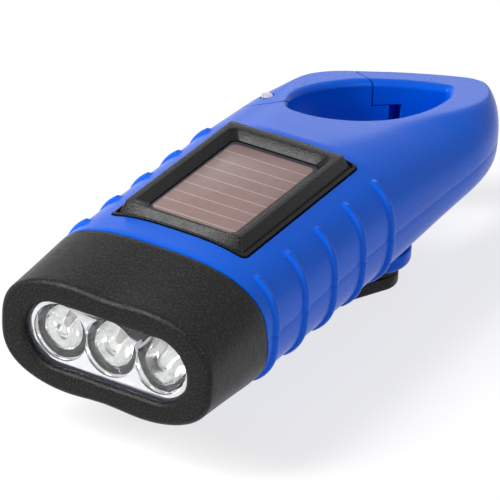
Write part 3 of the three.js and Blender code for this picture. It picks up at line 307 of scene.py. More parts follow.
def rib_height(y, section, angle, point):
    """How far a side rib lifts a point of the section, and nothing beyond the rib's round end."""
    body = settings().body
    radius, proud = mm(body.rib_radius), mm(body.rib_height)
    nearest = round((y - mm(body.first_rib)) / mm(body.rib_pitch))
    nearest = min(max(nearest, 0), body.rib_count - 1)
    off = y - mm(body.first_rib) - nearest * mm(body.rib_pitch)
    if abs(off) > 1.6 * radius:
        return 0.0
    side = angle if abs(angle) <= QUARTER else math.copysign(math.pi, angle) - angle
    past = 0.0
    limit = RIB_REACH * QUARTER
    if abs(side) > limit:
        end = math.copysign(limit, side)
        edge = section["right"] if point[0] > 0 else -section["left"]
        x = edge * math.cos(end) ** (2 / body.power)
        z = math.copysign(section["height"] * abs(math.sin(end)) ** (2 / body.power), end)
        past = math.hypot(abs(point[0]) - x, point[1] - z)
    lift = math.sqrt(max(0.0, radius**2 - off**2 - past**2)) - (radius - proud)
    soft, sink = 0.05, 0.002
    return max(0.0, 0.5 * (lift + math.sqrt(lift * lift + soft * soft)) - sink)


def section_ring(y, section, count, inset=0.0):
    """Points of the body's section at y: a superellipse with levelled top and underside."""
    body = settings().body
    left, right, crest, height = (section[k] for k in ("left", "right", "crest", "height"))
    ring = []
    for i in range(count):
        angle = (i / count) * 2 * math.pi
        angle = angle - 2 * math.pi if angle > math.pi else angle
        c, s = math.cos(angle), math.sin(angle)
        reach = (right if c >= 0 else left) - crest
        x = crest + reach * abs(c) ** (2 / body.power)
        z = math.copysign(height * abs(s) ** (2 / body.power), s)
        nx = math.copysign(abs(c) ** (2 - 2 / body.power) / abs(reach), c)
        nz = math.copysign(abs(s) ** (2 - 2 / body.power) / height, s)
        norm = math.hypot(nx, nz)
        lift = rib_height(y, section, angle, (x, z)) if section.get("ribs") else 0.0
        x, z = x + (lift - inset) * nx / norm, z + (lift - inset) * nz / norm
        if z > 0:
            z = soft_min(z, section["top"] - inset, section["blend_top"])
        else:
            z = -soft_min(-z, section["bottom"] - inset, section["blend_bottom"])
        dip = section.get("dip", 0.0) * math.exp(-((x / WAIST_SPREAD) ** 2))
        z -= section.get("lower", 0.0) + (math.copysign(dip, z) if abs(z) > 1e-6 else 0.0)
        ring.append(Vector((x, y, z)))
    return ring


def rim_level(share):
    """Level of the carabiner's flat rim, which falls towards the tip."""
    high, low = mm(settings().body.half_height), mm(settings().tail.tip_half_height)
    return high - (high - low) * share


def tail_share(y):
    """How far y lies along the tail, from 0 at its start to 1 at its tip."""
    body, tail = settings().body, settings().tail
    return (y - mm(tail.tail_start)) / (mm(body.body_length) - mm(tail.tail_start))


def body_section(y):
    """The body's section at y: the straight body with its ribs, then the tail."""
    body = settings().body
    width, height, under = mm(body.half_width), mm(body.half_height), mm(body.underside)
    share = tail_share(y)
    if share <= 0:
        return {
            "left": -width, "right": width, "crest": 0, "height": height, "ribs": True,
            "top": FAR, "bottom": under, "blend_top": 0, "blend_bottom": 0.5,
        }
    _, left, right, crest, tall = table_row(TAIL_SHARES, min(share, 1))
    rim = rim_level(share)
    return {
        "left": left * width, "right": right * width, "crest": crest * width, "height": tall * height,
        "ribs": share < 0.03, "top": rim, "bottom": min(rim, under),
        "blend_top": 0.28 * min(1, share / 0.04), "blend_bottom": 0.5,
    }


def head_section(y):
    """The head's section at y, from the waisted face to the body's own section."""
    head, body = settings().head, settings().body
    share = min(max(y / mm(head.seam_top), 0), 1)
    wide = mm(head.face_half_width) + (mm(body.half_width) - mm(head.face_half_width)) * share
    tall = mm(head.face_half_height) + (mm(body.half_height) - mm(head.face_half_height)) * share**1.25
    lower = mm(head.face_sink) * (1 - share)
    return {
        "left": -wide, "right": wide, "crest": 0, "height": tall,
        "top": FAR, "bottom": mm(body.underside) - lower, "blend_top": 0, "blend_bottom": 0.5,
        "dip": mm(head.waist_dip) * (1 - share) ** 1.5, "lower": lower,
    }


def quarter(steps):
    """Even angles from 0 to a right angle."""
    return [QUARTER * i / steps for i in range(steps + 1)]


def stadium_points(half_width, half_height, steps=28):
    """Points of an outline with two straight sides and two round ends."""
    straight = half_width - half_height
    points = []
    for side, start in ((1, -QUARTER), (-1, QUARTER)):
        for i in range(steps + 1):
            angle = start + math.pi * i / steps
            points.append((side * straight + half_height * math.cos(angle), half_height * math.sin(angle)))
    return points


def rounded_rectangle(left, right, front, back, radius, steps=6):
    """Points of a rectangle's outline with round corners."""
    corners = ((right - radius, front + radius, -1), (right - radius, back - radius, 0),
               (left + radius, back - radius, 1), (left + radius, front + radius, 2))
    points = []
    for x, y, start in corners:
        for i in range(steps + 1):
            angle = (start + i / steps) * QUARTER
            points.append((x + radius * math.cos(angle), y + radius * math.sin(angle)))
    return points


# Mesh tools


def loop_of(bm, points):
    """A closed loop of edges through the points."""
    verts = [bm.verts.new(p) for p in points]
    edges = [bm.edges.new(pair) for pair in zip(verts, verts[1:] + verts[:1])]
    return verts, edges


def grow_ring(bm, verts, edges, ring):
    """Extrudes a loop of edges and puts its new points on the next ring."""
    index = {v: i for i, v in enumerate(verts)}
    grown = bmesh.ops.extrude_edge_only(bm, edges=edges)["geom"]
    new_edges = [e for e in grown if isinstance(e, bmesh.types.BMEdge)]
    placed = [None] * len(verts)
    for v in (v for v in grown if isinstance(v, bmesh.types.BMVert)):
        for edge in v.link_edges:
            old = edge.other_vert(v)
            if old in index:
                placed[index[old]] = v
                v.co = ring[index[old]]
    return placed, new_edges


def loft(rings, closed=False):
    """A solid skinned over rings of points, capped at its ends or joined into a loop."""
    bm = bmesh.new()
    first_verts, first_edges = loop_of(bm, rings[0])
    verts, edges = first_verts, first_edges
    for ring in rings[1:]:
        verts, edges = grow_ring(bm, verts, edges, ring)
    if closed:
        bmesh.ops.bridge_loops(bm, edges=first_edges + edges)
    else:
        bmesh.ops.edgeloop_fill(bm, edges=first_edges)
        bmesh.ops.edgeloop_fill(bm, edges=edges)
    bmesh.ops.recalc_face_normals(bm, faces=bm.faces)
    return bm


def prism(points, low, high):
    """An upright prism over an outline drawn in x and y."""
    bm = bmesh.new()
    face = bm.faces.new([bm.verts.new((x, y, low)) for x, y in points])
    top = bmesh.ops.extrude_face_region(bm, geom=[face])["geom"]
    top = [v for v in top if isinstance(v, bmesh.types.BMVert)]
    bmesh.ops.translate(bm, vec=(0, 0, high - low), verts=top)
    bmesh.ops.recalc_face_normals(bm, faces=bm.faces)
    return bm


def block(low, high):
    """A block between its lowest and highest corners."""
    bm = bmesh.new()
    size = Vector(high) - Vector(low)
    middle = (Vector(high) + Vector(low)) / 2
    bmesh.ops.create_cube(bm, size=1, matrix=Matrix.Translation(middle) @ Matrix.Diagonal((*size, 1)))
    return bm


def rod(x, y, low, high, radius, sides=48):
    """An upright rod."""
    bm = bmesh.new()
    bmesh.ops.create_cone(
        bm, cap_ends=True, segments=sides, radius1=radius, radius2=radius, depth=high - low,
        matrix=Matrix.Translation((x, y, (low + high) / 2)),
    )
    return bm


def turned(profile, steps=64, axis=(0, 0, 1)):
    """A turned solid from a profile of radius and level that starts and ends on the axis or meets itself."""
    bm = bmesh.new()
    verts = [bm.verts.new((r, 0, z)) for r, z in profile]
    edges = [bm.edges.new(pair) for pair in zip(verts, verts[1:])]
    if profile[0][0] > 0:
        edges.append(bm.edges.new((verts[-1], verts[0])))
    bmesh.ops.spin(
        bm, geom=verts + edges, cent=(0, 0, 0), axis=(0, 0, 1), angle=2 * math.pi, steps=steps,
        use_merge=True,
    )
    bmesh.ops.remove_doubles(bm, verts=bm.verts, dist=1e-4)
    bmesh.ops.recalc_face_normals(bm, faces=bm.faces)
    if Vector(axis).y:
        bmesh.ops.rotate(bm, cent=(0, 0, 0), matrix=Matrix.Rotation(-QUARTER, 3, "X"), verts=bm.verts)
    return bm


def moved(bm, vec):
    """The same solid, shifted."""
    bmesh.ops.translate(bm, vec=vec, verts=bm.verts)
    return bm


def rounded(bm, offset, segments=3, angle=math.radians(35)):
    """Rounds the sharp edges of a solid."""
    sharp = [e for e in bm.edges if len(e.link_faces) == 2 and e.calc_face_angle(0) > angle]
    bmesh.ops.bevel(
        bm, geom=sharp, offset=offset, segments=segments, profile=0.5, affect="EDGES", material=-1,
        clamp_overlap=True,
    )
    return bm


def sliced(bm, point, normal, edge=0.0):
    """Keeps the side of a plane that its normal points away from, closed with a slightly rounded edge."""
    whole = bm.verts[:] + bm.edges[:] + bm.faces[:]
    cut = bmesh.ops.bisect_plane(
        bm, geom=whole, plane_co=point, plane_no=normal, clear_outer=True, dist=1e-5,
    )["geom_cut"]
    rim = [e for e in cut if isinstance(e, bmesh.types.BMEdge)]
    bmesh.ops.edgeloop_fill(bm, edges=rim)
    bmesh.ops.recalc_face_normals(bm, faces=bm.faces)
    if edge > 0:
        rim = [e for e in rim if e.is_valid]
        bmesh.ops.bevel(bm, geom=rim, offset=edge, segments=2, profile=0.5, affect="EDGES", material=-1)
    return bm


def working_object(bm):
    """A passing object that holds a solid while it is cut or joined."""
    mesh = bpy.data.meshes.new("working")
    bm.to_mesh(mesh)
    obj = bpy.data.objects.new("working", mesh)
    bpy.context.scene.collection.objects.link(obj)
    return obj


def combined(base, *tools, operation="DIFFERENCE"):
    """The base after each tool is cut from it, joined to it or kept in common."""
    base_obj = working_object(base)
    tool_objs = [working_object(tool) for tool in tools]
    for tool in tool_objs:
        modifier = base_obj.modifiers.new("step", "BOOLEAN")
        modifier.operation = operation
        modifier.solver = "EXACT"
        modifier.object = tool
    evaluated = base_obj.evaluated_get(bpy.context.evaluated_depsgraph_get())
    mesh = bpy.data.meshes.new_from_object(evaluated)
    result = bmesh.new()
    result.from_mesh(mesh)
    bpy.data.meshes.remove(mesh)
    for obj in [base_obj, *tool_objs]:
        old = obj.data
        bpy.data.objects.remove(obj)
        bpy.data.meshes.remove(old)
    bmesh.ops.remove_doubles(result, verts=result.verts, dist=2e-4)
    bmesh.ops.dissolve_degenerate(result, edges=result.edges, dist=1e-4)
    return result


def piece(name, bm, body, finish, replaces=(), smooth=32, to_row=TO_ROW):
    """Puts a finished mesh into the row frame as a named piece with its finish."""
    bmesh.ops.transform(bm, matrix=to_row, verts=bm.verts)
    mesh = bpy.data.meshes.new(name)
    bm.to_mesh(mesh)
    bm.free()
    mesh.polygons.foreach_set("use_smooth", [True] * len(mesh.polygons))
    mesh.set_sharp_from_angle(angle=math.radians(smooth))
    obj = bpy.data.objects.new(name, mesh)
    bpy.context.scene.collection.objects.link(obj)
    mesh.materials.append(finish_named(finish))
    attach(obj, body)
    if replaces:
        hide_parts(*replaces)
    return obj


# Materials


def node_tree(name):
    """A new material with its node tree and its shader."""
    material = bpy.data.materials.new(name)
    material.use_nodes = True
    tree = material.node_tree
    shader = tree.nodes["Principled BSDF"]
    return material, tree, shader


def add(tree, kind, **values):
    """A new node with its settings."""
    node = tree.nodes.new(kind)
    for key, value in values.items():
        setattr(node, key, value)
    return node


def object_coordinates(tree):
    """Places in the piece's own frame, which move with it."""
    return add(tree, "ShaderNodeTexCoord").outputs["Object"]


def feed(tree, socket, value):
    """Links a socket to another node's output, or sets its plain number or colour."""
    if isinstance(value, bpy.types.NodeSocket):
        tree.links.new(value, socket)
    elif isinstance(value, (int, float)):
        socket.default_value = value
    else:
        socket.default_value = (*value, 1)


def noise(tree, vector, scale, detail=4.0, roughness=0.6):
    """Fine unevenness from 0 to 1."""
    node = add(tree, "ShaderNodeTexNoise")
    for key, value in (("Vector", vector), ("Scale", scale), ("Detail", detail), ("Roughness", roughness)):
        feed(tree, node.inputs[key], value)
    return node.outputs["Fac"]


def mixed(tree, share, low, high):
    """A colour between two others."""
    node = add(tree, "ShaderNodeMix", data_type="RGBA")
    feed(tree, node.inputs["Factor"], share)
    for name, value in (("A", low), ("B", high)):
        feed(tree, next(s for s in node.inputs if s.name == name and s.type == "RGBA"), value)
    return next(s for s in node.outputs if s.type == "RGBA")


def ramp(tree, value, low, high, from_low=0.3, from_high=0.7):
    """A value mapped onto a range, or onto a range of colours."""
    if isinstance(low, tuple):
        return mixed(tree, ramp(tree, value, 0.0, 1.0, from_low, from_high), low, high)
    node = add(tree, "ShaderNodeMapRange")
    ends = (("From Min", from_low), ("From Max", from_high), ("To Min", low), ("To Max", high))
    for key, number in (("Value", value), *ends):
        feed(tree, node.inputs[key], number)
    return node.outputs["Result"]


def math_node(tree, operation, *values):
    """The outcome of one sum."""
    node = add(tree, "ShaderNodeMath", operation=operation)
    for socket, value in zip(node.inputs, values):
        feed(tree, socket, value)
    return node.outputs[0]


def seen_rays(tree):
    """1 where the camera, a reflection or clear plastic looks, and 0 for light that falls on a surface."""
    rays = add(tree, "ShaderNodeLightPath").outputs
    seen = math_node(tree, "MAXIMUM", rays["Is Camera Ray"], rays["Is Glossy Ray"])
    return math_node(tree, "MAXIMUM", seen, rays["Is Transmission Ray"])


def seen_or_lit(tree, lit, seen, surface):
    """Gives a surface one shader for what falls on it and another for what looks at it."""
    mix = add(tree, "ShaderNodeMixShader")
    for socket, value in zip(mix.inputs, (seen_rays(tree), lit, seen)):
        tree.links.new(value, socket)
    tree.links.new(mix.outputs[0], surface)


def bump(tree, shader, height, strength, distance):
    """Fine relief from a height, a distance deep."""
    node = add(tree, "ShaderNodeBump")
    for key, value in (("Strength", strength), ("Distance", distance), ("Height", height)):
        feed(tree, node.inputs[key], value)
    tree.links.new(node.outputs["Normal"], shader.inputs["Normal"])


def plastic(name, base, rough=(0.3, 0.38), vary=0.12, grain=900.0, depth=0.00001, strength=0.25, gloss=0.5):
    """Moulded plastic: a little uneven in colour and gloss, with a fine moulded grain."""
    material, tree, shader = node_tree(name)
    place = object_coordinates(tree)
    broad = noise(tree, place, 45.0)
    fine = noise(tree, place, grain, 3.0, 0.55)
    darker = tuple(c * (1 - vary) for c in base)
    lighter = tuple(min(1, c * (1 + vary)) for c in base)
    feed(tree, shader.inputs["Base Color"], ramp(tree, broad, darker, lighter))
    feed(tree, shader.inputs["Roughness"], ramp(tree, fine, *rough))
    shader.inputs["Specular IOR Level"].default_value = gloss
    bump(tree, shader, fine, strength, depth)
    return material


def speckled(name, base, spark, rough, grain, depth, strength, gloss=0.16):
    """Spark-eroded black plastic, whose grain catches the light in fine specks."""
    material, tree, shader = node_tree(name)
    place = object_coordinates(tree)
    fine = noise(tree, place, grain, 2.0, 0.6)
    broad = noise(tree, place, grain / 6, 3.0, 0.5)
    feed(tree, shader.inputs["Base Color"], ramp(tree, fine, tuple(base), spark, 0.5, 0.78))
    feed(tree, shader.inputs["Roughness"], ramp(tree, broad, *rough))
    shader.inputs["Specular IOR Level"].default_value = gloss
    bump(tree, shader, fine, strength, depth)
    return material


def metal(name, base, rough=(0.18, 0.34), brushed=(300.0, 300.0, 300.0)):
    """Metal with faint streaks in its colour, gloss and relief."""
    material, tree, shader = node_tree(name)
    shader.inputs["Metallic"].default_value = 1.0
    mapping = add(tree, "ShaderNodeMapping")
    mapping.inputs["Scale"].default_value = brushed
    tree.links.new(object_coordinates(tree), mapping.inputs["Vector"])
    streaks = noise(tree, mapping.outputs["Vector"], 6.0, 5.0)
    feed(tree, shader.inputs["Base Color"], ramp(tree, streaks, tuple(0.85 * c for c in base), base))
    feed(tree, shader.inputs["Roughness"], ramp(tree, streaks, *rough))
    bump(tree, shader, streaks, 0.15, 0.00001)
    return material


def clear(name, tint, roughness=0.02, ior=1.49):
    """Clear plastic with the faintest unevenness of its gloss."""
    material, tree, shader = node_tree(name)
    broad = noise(tree, object_coordinates(tree), 160.0)
    rough = ramp(tree, broad, roughness, roughness * 2)
    values = (("Base Color", tint), ("Transmission Weight", 1.0), ("IOR", ior), ("Roughness", rough))
    for key, value in values:
        feed(tree, shader.inputs[key], value)
    return material


def solar_cells(name):
    """Solar cells under resin: brown strips with pale lines between them, inside a grey border."""
    finish = settings().finishes
    material, tree, shader = node_tree(name)
    place = object_coordinates(tree)
    split = add(tree, "ShaderNodeSeparateXYZ")
    tree.links.new(place, split.inputs[0])
    x, y = split.outputs[0], split.outputs[1]
    pitch, last_line, half_line, corner = 0.003246, -0.0043, 0.0001, 0.0012
    steps = math_node(tree, "DIVIDE", math_node(tree, "SUBTRACT", y, last_line), pitch)
    away = math_node(tree, "ABSOLUTE", math_node(tree, "SUBTRACT", steps, math_node(tree, "ROUND", steps)))
    line = math_node(tree, "LESS_THAN", away, half_line / pitch)
    fine = noise(tree, place, 700.0)
    cells = ramp(tree, fine, tuple(0.94 * c for c in finish.cell), tuple(1.05 * c for c in finish.cell))
    lined = mixed(tree, line, cells, finish.cell_line)
    reaches = []
    for value, middle, half in ((x, 0.0, 0.0079), (y, -0.0146, 0.0132)):
        away = math_node(tree, "ABSOLUTE", math_node(tree, "SUBTRACT", value, middle))
        reach = math_node(tree, "MAXIMUM", math_node(tree, "SUBTRACT", away, half - corner), 0.0)
        reaches.append(math_node(tree, "MULTIPLY", reach, reach))
    edge = math_node(tree, "GREATER_THAN", math_node(tree, "ADD", *reaches), corner * corner)
    feed(tree, shader.inputs["Base Color"], mixed(tree, edge, lined, finish.border))
    feed(tree, shader.inputs["Roughness"], ramp(tree, fine, 0.3, 0.38))
    shader.inputs["Specular IOR Level"].default_value = 0.25
    bump(tree, shader, fine, 0.08, 0.00001)
    return material


def finish_named(name):
    """The material of that name, made the first time that it is asked for."""
    found = bpy.data.materials.get(name)
    if found:
        return found
    finish = settings().finishes
    rows = {
        "blue_plastic": (plastic, finish.housing, (0.27, 0.29), 0.03, 1800.0, 0.000001, 0.02, 0.15),
        "head_plastic": (speckled, finish.head, (0.045, 0.043, 0.041), (0.3, 0.4), 3000.0, 0.0001, 0.9),
        "frame_plastic": (
            speckled, finish.bezel, (0.024, 0.024, 0.024), (0.24, 0.32), 3600.0, 0.00006, 0.7, 0.17,
        ),
        "crank_plastic": (
            speckled, finish.crank, (0.045, 0.045, 0.047), (0.36, 0.5), 1900.0, 0.00003, 0.35,
        ),
        "rubber": (plastic, finish.seal, (0.5, 0.66), 0.12, 2500.0, 0.00001, 0.2),
        "acetal": (plastic, finish.gears, (0.35, 0.5), 0.03),
        "board": (plastic, finish.board, (0.3, 0.5), 0.25, 1400.0),
        "phosphor": (plastic, (0.93, 0.91, 0.82), (0.4, 0.55), 0.05),
        "steel": (metal, tuple(finish.steel)),
        "chrome": (metal, (0.93, 0.93, 0.94), (0.035, 0.09), (60.0, 60.0, 60.0)),
        "bowl": (metal, (0.97, 0.97, 0.96), (0.06, 0.2), (260.0, 260.0, 260.0)),
        "copper": (metal, tuple(finish.copper), (0.25, 0.4), (200.0, 200.0, 4000.0)),
        "lens_clear": (clear, (0.98, 0.99, 1.0)),
        "lamp_clear": (clear, (1.0, 1.0, 0.99), 0.015, 1.52),
        "solar_cells": (solar_cells,),
    }
    maker, *values = rows[name]
    return maker(name, *values)


# Shared shapes of the carabiner and the shells


def seam_plane(gap):
    """A point and the normal of the plane between the head and the shells."""
    head, body = settings().head, settings().body
    lean = (mm(head.seam_bottom) - mm(head.seam_top)) / (2 * mm(body.half_height))
    middle = (mm(head.seam_top) + mm(head.seam_bottom)) / 2
    return Vector((0, middle + gap, 0)), Vector((0, 1, lean)).normalized()


def body_stations():
    """Places along the body, closer together over the ribs and towards the tip."""
    body, tail = settings().body, settings().tail
    start = mm(tail.tail_start)
    places = set()
    for rib in range(body.rib_count):
        middle = mm(body.first_rib) + rib * mm(body.rib_pitch)
        places.update(round(middle + off * 0.12, 4) for off in range(-12, 13))
        places.update(round(middle + off, 4) for off in (2.2, 3.1, 4.0, 4.75, 5.5, 6.4, 7.3))
    places = {p for p in places if p < start - 0.05}
    places.update((12.5, 14.0, 15.5, 17.0, 18.3, start))
    span = mm(body.body_length) - start
    for i in range(1, 73):
        places.add(round(start + span * (1 - (1 - i / 72) ** 1.6), 4))
    return sorted(places)


def body_solid():
    """The whole body and tail as one solid."""
    return loft([section_ring(y, body_section(y), 112) for y in body_stations()])


def hole_cutter():
    """The carabiner's hole, flared at both rims, so that it leaves a rounded edge."""
    body, tail = settings().body, settings().tail
    span = mm(body.body_length) - mm(tail.tail_start)
    spots = [(x * mm(body.half_width), mm(tail.tail_start) + y * span) for x, y in HOLE_SHARES]
    points, tangents = closed_curve(spots, 144)
    fillet = mm(tail.hole_fillet)
    profile = [(-2.5 * fillet, 0.0)]
    profile += [(fillet * (1 - math.cos(a)), fillet * math.sin(a)) for a in quarter(8)]
    rings = []
    for side, rows in ((1, profile), (-1, profile[::-1])):
        for depth, inset in rows:
            rings.append([
                Vector((
                    p[0] - t[1] * inset, p[1] + t[0] * inset,
                    side * (rim_level(tail_share(p[1])) - depth),
                )) for p, t in zip(points, tangents)
            ])
    return loft(rings)


def gate_frame():
    """Places of the gate's pin and of its nose."""
    body, tail = settings().body, settings().tail
    span = mm(body.body_length) - mm(tail.tail_start)
    pin = (PIN_PLACE[0] - mm(body.half_width), mm(tail.tail_start) + PIN_PLACE[1])
    nose = (NOSE_SHARES[0] * mm(body.half_width), mm(tail.tail_start) + NOSE_SHARES[1] * span)
    return pin, nose


def gate_outline(grow):
    """Plan of the gate from its round eye to the slanting joint at its nose."""
    pin, nose = gate_frame()
    eye = mm(settings().tail.eye_radius) + grow
    far = -mm(settings().body.half_width) - 3
    slant = Vector((1, -0.365)).normalized()
    shift = Vector((-slant.y, slant.x)) * grow
    start = Vector(nose) + slant * 3 + shift
    end = Vector(nose) + slant * far + shift
    first = math.pi + math.asin(grow / eye)
    arc = [first + (2 * math.pi - first) * i / 40 for i in range(41)]
    points = [(far, pin[1] - grow)]
    points += [(pin[0] + eye * math.cos(a), pin[1] + eye * math.sin(a)) for a in arc]
    return points + [tuple(start), tuple(end)]


def gate_tab(grow, spare):
    """The tab at the gate's nose, or the notch that it enters."""
    _, nose = gate_frame()
    along = Vector((0.72, 0.695)).normalized()
    outward = Vector((-along.y, along.x))
    reach = mm(settings().tail.tab_length) + spare
    root, depth = -3, 2.6 + grow
    inner = -3.0 if grow > 0 else 0.0
    corners = ((root, inner), (reach, inner), (reach, depth), (root, depth))
    points = [tuple(Vector(nose) + along * a + outward * b) for a, b in corners]
    return prism(points, -TAB_HALF_HEIGHT - grow, TAB_HALF_HEIGHT + grow)


def tongue(grow):
    """The shells' tongue between the gate's lugs, or the room that the gate leaves for it."""
    pin, _ = gate_frame()
    eye = mm(settings().tail.eye_radius)
    high = TONGUE_HALF_HEIGHT + grow
    disc = rod(*pin, -high, high, eye + grow, 64)
    if grow > 0:
        root = block((-23, pin[1] - eye - 3, -high), (pin[0] + eye + 3, pin[1] + grow, high))
    else:
        edge = -mm(settings().body.half_width) + mm(settings().body.wall) / 2
        root = block((edge, pin[1] - eye - 0.6, -high), (pin[0] + 0.8 * eye, pin[1], high))
    return combined(disc, root, operation="UNION")


def gate_socket():
    """The space that the shells leave for the gate."""
    pin, _ = gate_frame()
    gap = mm(settings().tail.clearance)
    space = combined(prism(gate_outline(gap), -THROUGH, THROUGH), tongue(0))
    hole = rod(*pin, -THROUGH, THROUGH, mm(settings().tail.pin_radius) + gap)
    return combined(space, gate_tab(gap, 2.2), hole, operation="UNION")


def cavity():
    """The hollow inside the shells."""
    wall = mm(settings().body.wall)
    rings = []
    for y, lower in ((10, 0), (60, 0), (66.4, 0.3)):
        section = dict(body_section(min(y, 59.9)), ribs=False, top=mm(settings().body.half_height) - lower)
        rings.append(section_ring(y, section, 40, wall))
    return loft(rings)


def screw_places():
    """Places of the four housing screws."""
    side = mm(settings().body.half_width) - SCREW_INSET
    return [(x, y) for y in SCREW_ROWS for x in (-side, side)]


# Pieces, one operator for each piece or group of like pieces


class FLASHLIGHT_OT_shells(Operator):
    """Builds the two ribbed shells of the housing and the gate in their tail"""

    bl_idname = "flashlight.shells"
    bl_label = "Shells and gate"

    def execute(self, context):
        whole = body_solid()
        hole = hole_cutter()
        piece("gate_moulding", self.gate(whole, hole), "gate", "blue_plastic", ["gate"])
        piece("gate_pin_turned", self.gate_pin(), "housing", "steel", ["gate_pin"])
        point, normal = seam_plane(SEAM_GAP)
        shells = sliced(whole, point, -normal, 0.12)
        gap = mm(settings().body.parting_gap) / 2
        for side in (1, -1):
            half = sliced(shells.copy(), (0, 0, side * gap), (0, 0, -side), 0.03)
            name = "top" if side > 0 else "bottom"
            half = combined(half, cavity(), hole, gate_socket(), *self.cuts(side))
            piece(f"{name}_shell_moulding", half, "housing", "blue_plastic", [f"{name}_shell"])
        return {"FINISHED"}

    def gate(self, whole, hole):
        """The part of the body inside the gate's plan, with room for the tongue, spring and pin."""
        pin, _ = gate_frame()
        gap = mm(settings().tail.clearance)
        outline = combined(prism(gate_outline(0), -THROUGH, THROUGH), gate_tab(0, 0), operation="UNION")
        gate = combined(whole, outline, operation="INTERSECT")
        spring_room = rod(*pin, 0, 5.4, mm(settings().tail.eye_radius) + 2 * gap, 64)
        pin_hole = rod(*pin, -THROUGH, THROUGH, mm(settings().tail.pin_radius) + gap)
        return combined(gate, hole, tongue(gap), spring_room, pin_hole)

    def gate_pin(self):
        """The gate's pin, domed at both ends and sunk a little below the rim."""
        pin, _ = gate_frame()
        radius, reach = mm(settings().tail.pin_radius), rim_level(tail_share(pin[1])) - 0.6
        profile = [(0, -reach), (0.6 * radius, 0.08 - reach), (radius, 0.35 - reach)]
        profile += [(r, -z) for r, z in reversed(profile)]
        return moved(turned(profile, 48), (*pin, 0))

    def cuts(self, side):
        """The panel's recess in the top shell, or the holes in the bottom one."""
        solar = settings().solar
        gap = mm(settings().tail.clearance)
        if side > 0:
            wide = mm(solar.half_width) + gap
            front, back = mm(solar.front) - gap, mm(solar.back) + gap
            recess = prism(rounded_rectangle(-wide, wide, front, back, 1 + gap), mm(solar.base) - gap, 20)
            inner = prism(rounded_rectangle(-10.9, 10.9, 23.3, 56.9, 1), 5, 20)
            return [recess, inner]
        button = rod(0, BUTTON_Y, -THROUGH, -5, 3.9, 72)
        axle = rod(0, mm(settings().crank.hub_y), -THROUGH, -5, 1.8)
        return [button, axle] + [rod(x, y, -THROUGH, -7.3, 2.2) for x, y in screw_places()]


class FLASHLIGHT_OT_head(Operator):
    """Builds the black head with its window"""

    bl_idname = "flashlight.head"
    bl_label = "Head"

    def execute(self, context):
        head = settings().head
        rounding = mm(head.face_round)
        rings = []
        for angle in quarter(8):
            y = rounding * (1 - math.cos(angle))
            rings.append(section_ring(y, head_section(y), 112, rounding * (1 - math.sin(angle))))
        for i in range(1, 22):
            y = rounding + (23 - rounding) * i / 21
            rings.append(section_ring(y, head_section(y), 112))
        point, normal = seam_plane(-SEAM_GAP)
        shell = sliced(loft(rings), point, normal, 0.15)
        hollow = loft([section_ring(y, head_section(y), 64, HEAD_WALL) for y in (1.5, 4, 8, 12, 15.5, 24)])
        shell = combined(shell, hollow, self.window())
        piece("head_moulding", shell, "housing", "head_plastic", ["head_bezel"])
        return {"FINISHED"}

    def window(self):
        """The window's cutter, flared at the front for its rounded edge."""
        head = settings().head
        edge = mm(head.window_round)
        arc = [(edge * (1 - math.cos(a)), edge * (1 - math.sin(a))) for a in quarter(5)]
        rings = []
        for y, grow in [(-2.0, edge), *arc, (3.0, 0.0)]:
            wide, tall = mm(head.window_half_width) + grow, mm(head.window_half_height) + grow
            outline = stadium_points(wide, tall)
            rings.append([Vector((x, y, z - mm(head.face_sink))) for x, z in outline])
        return loft(rings)


def on_edge(points, front, back, edge=0.0):
    """A plate that stands upright, drawn in x and z."""
    bm = prism(points, 0, back - front)
    if edge:
        rounded(bm, edge, 2)
    bmesh.ops.rotate(bm, cent=(0, 0, 0), matrix=Matrix.Rotation(QUARTER, 3, "X"), verts=bm.verts)
    return moved(bm, (0, back, -mm(settings().head.face_sink)))


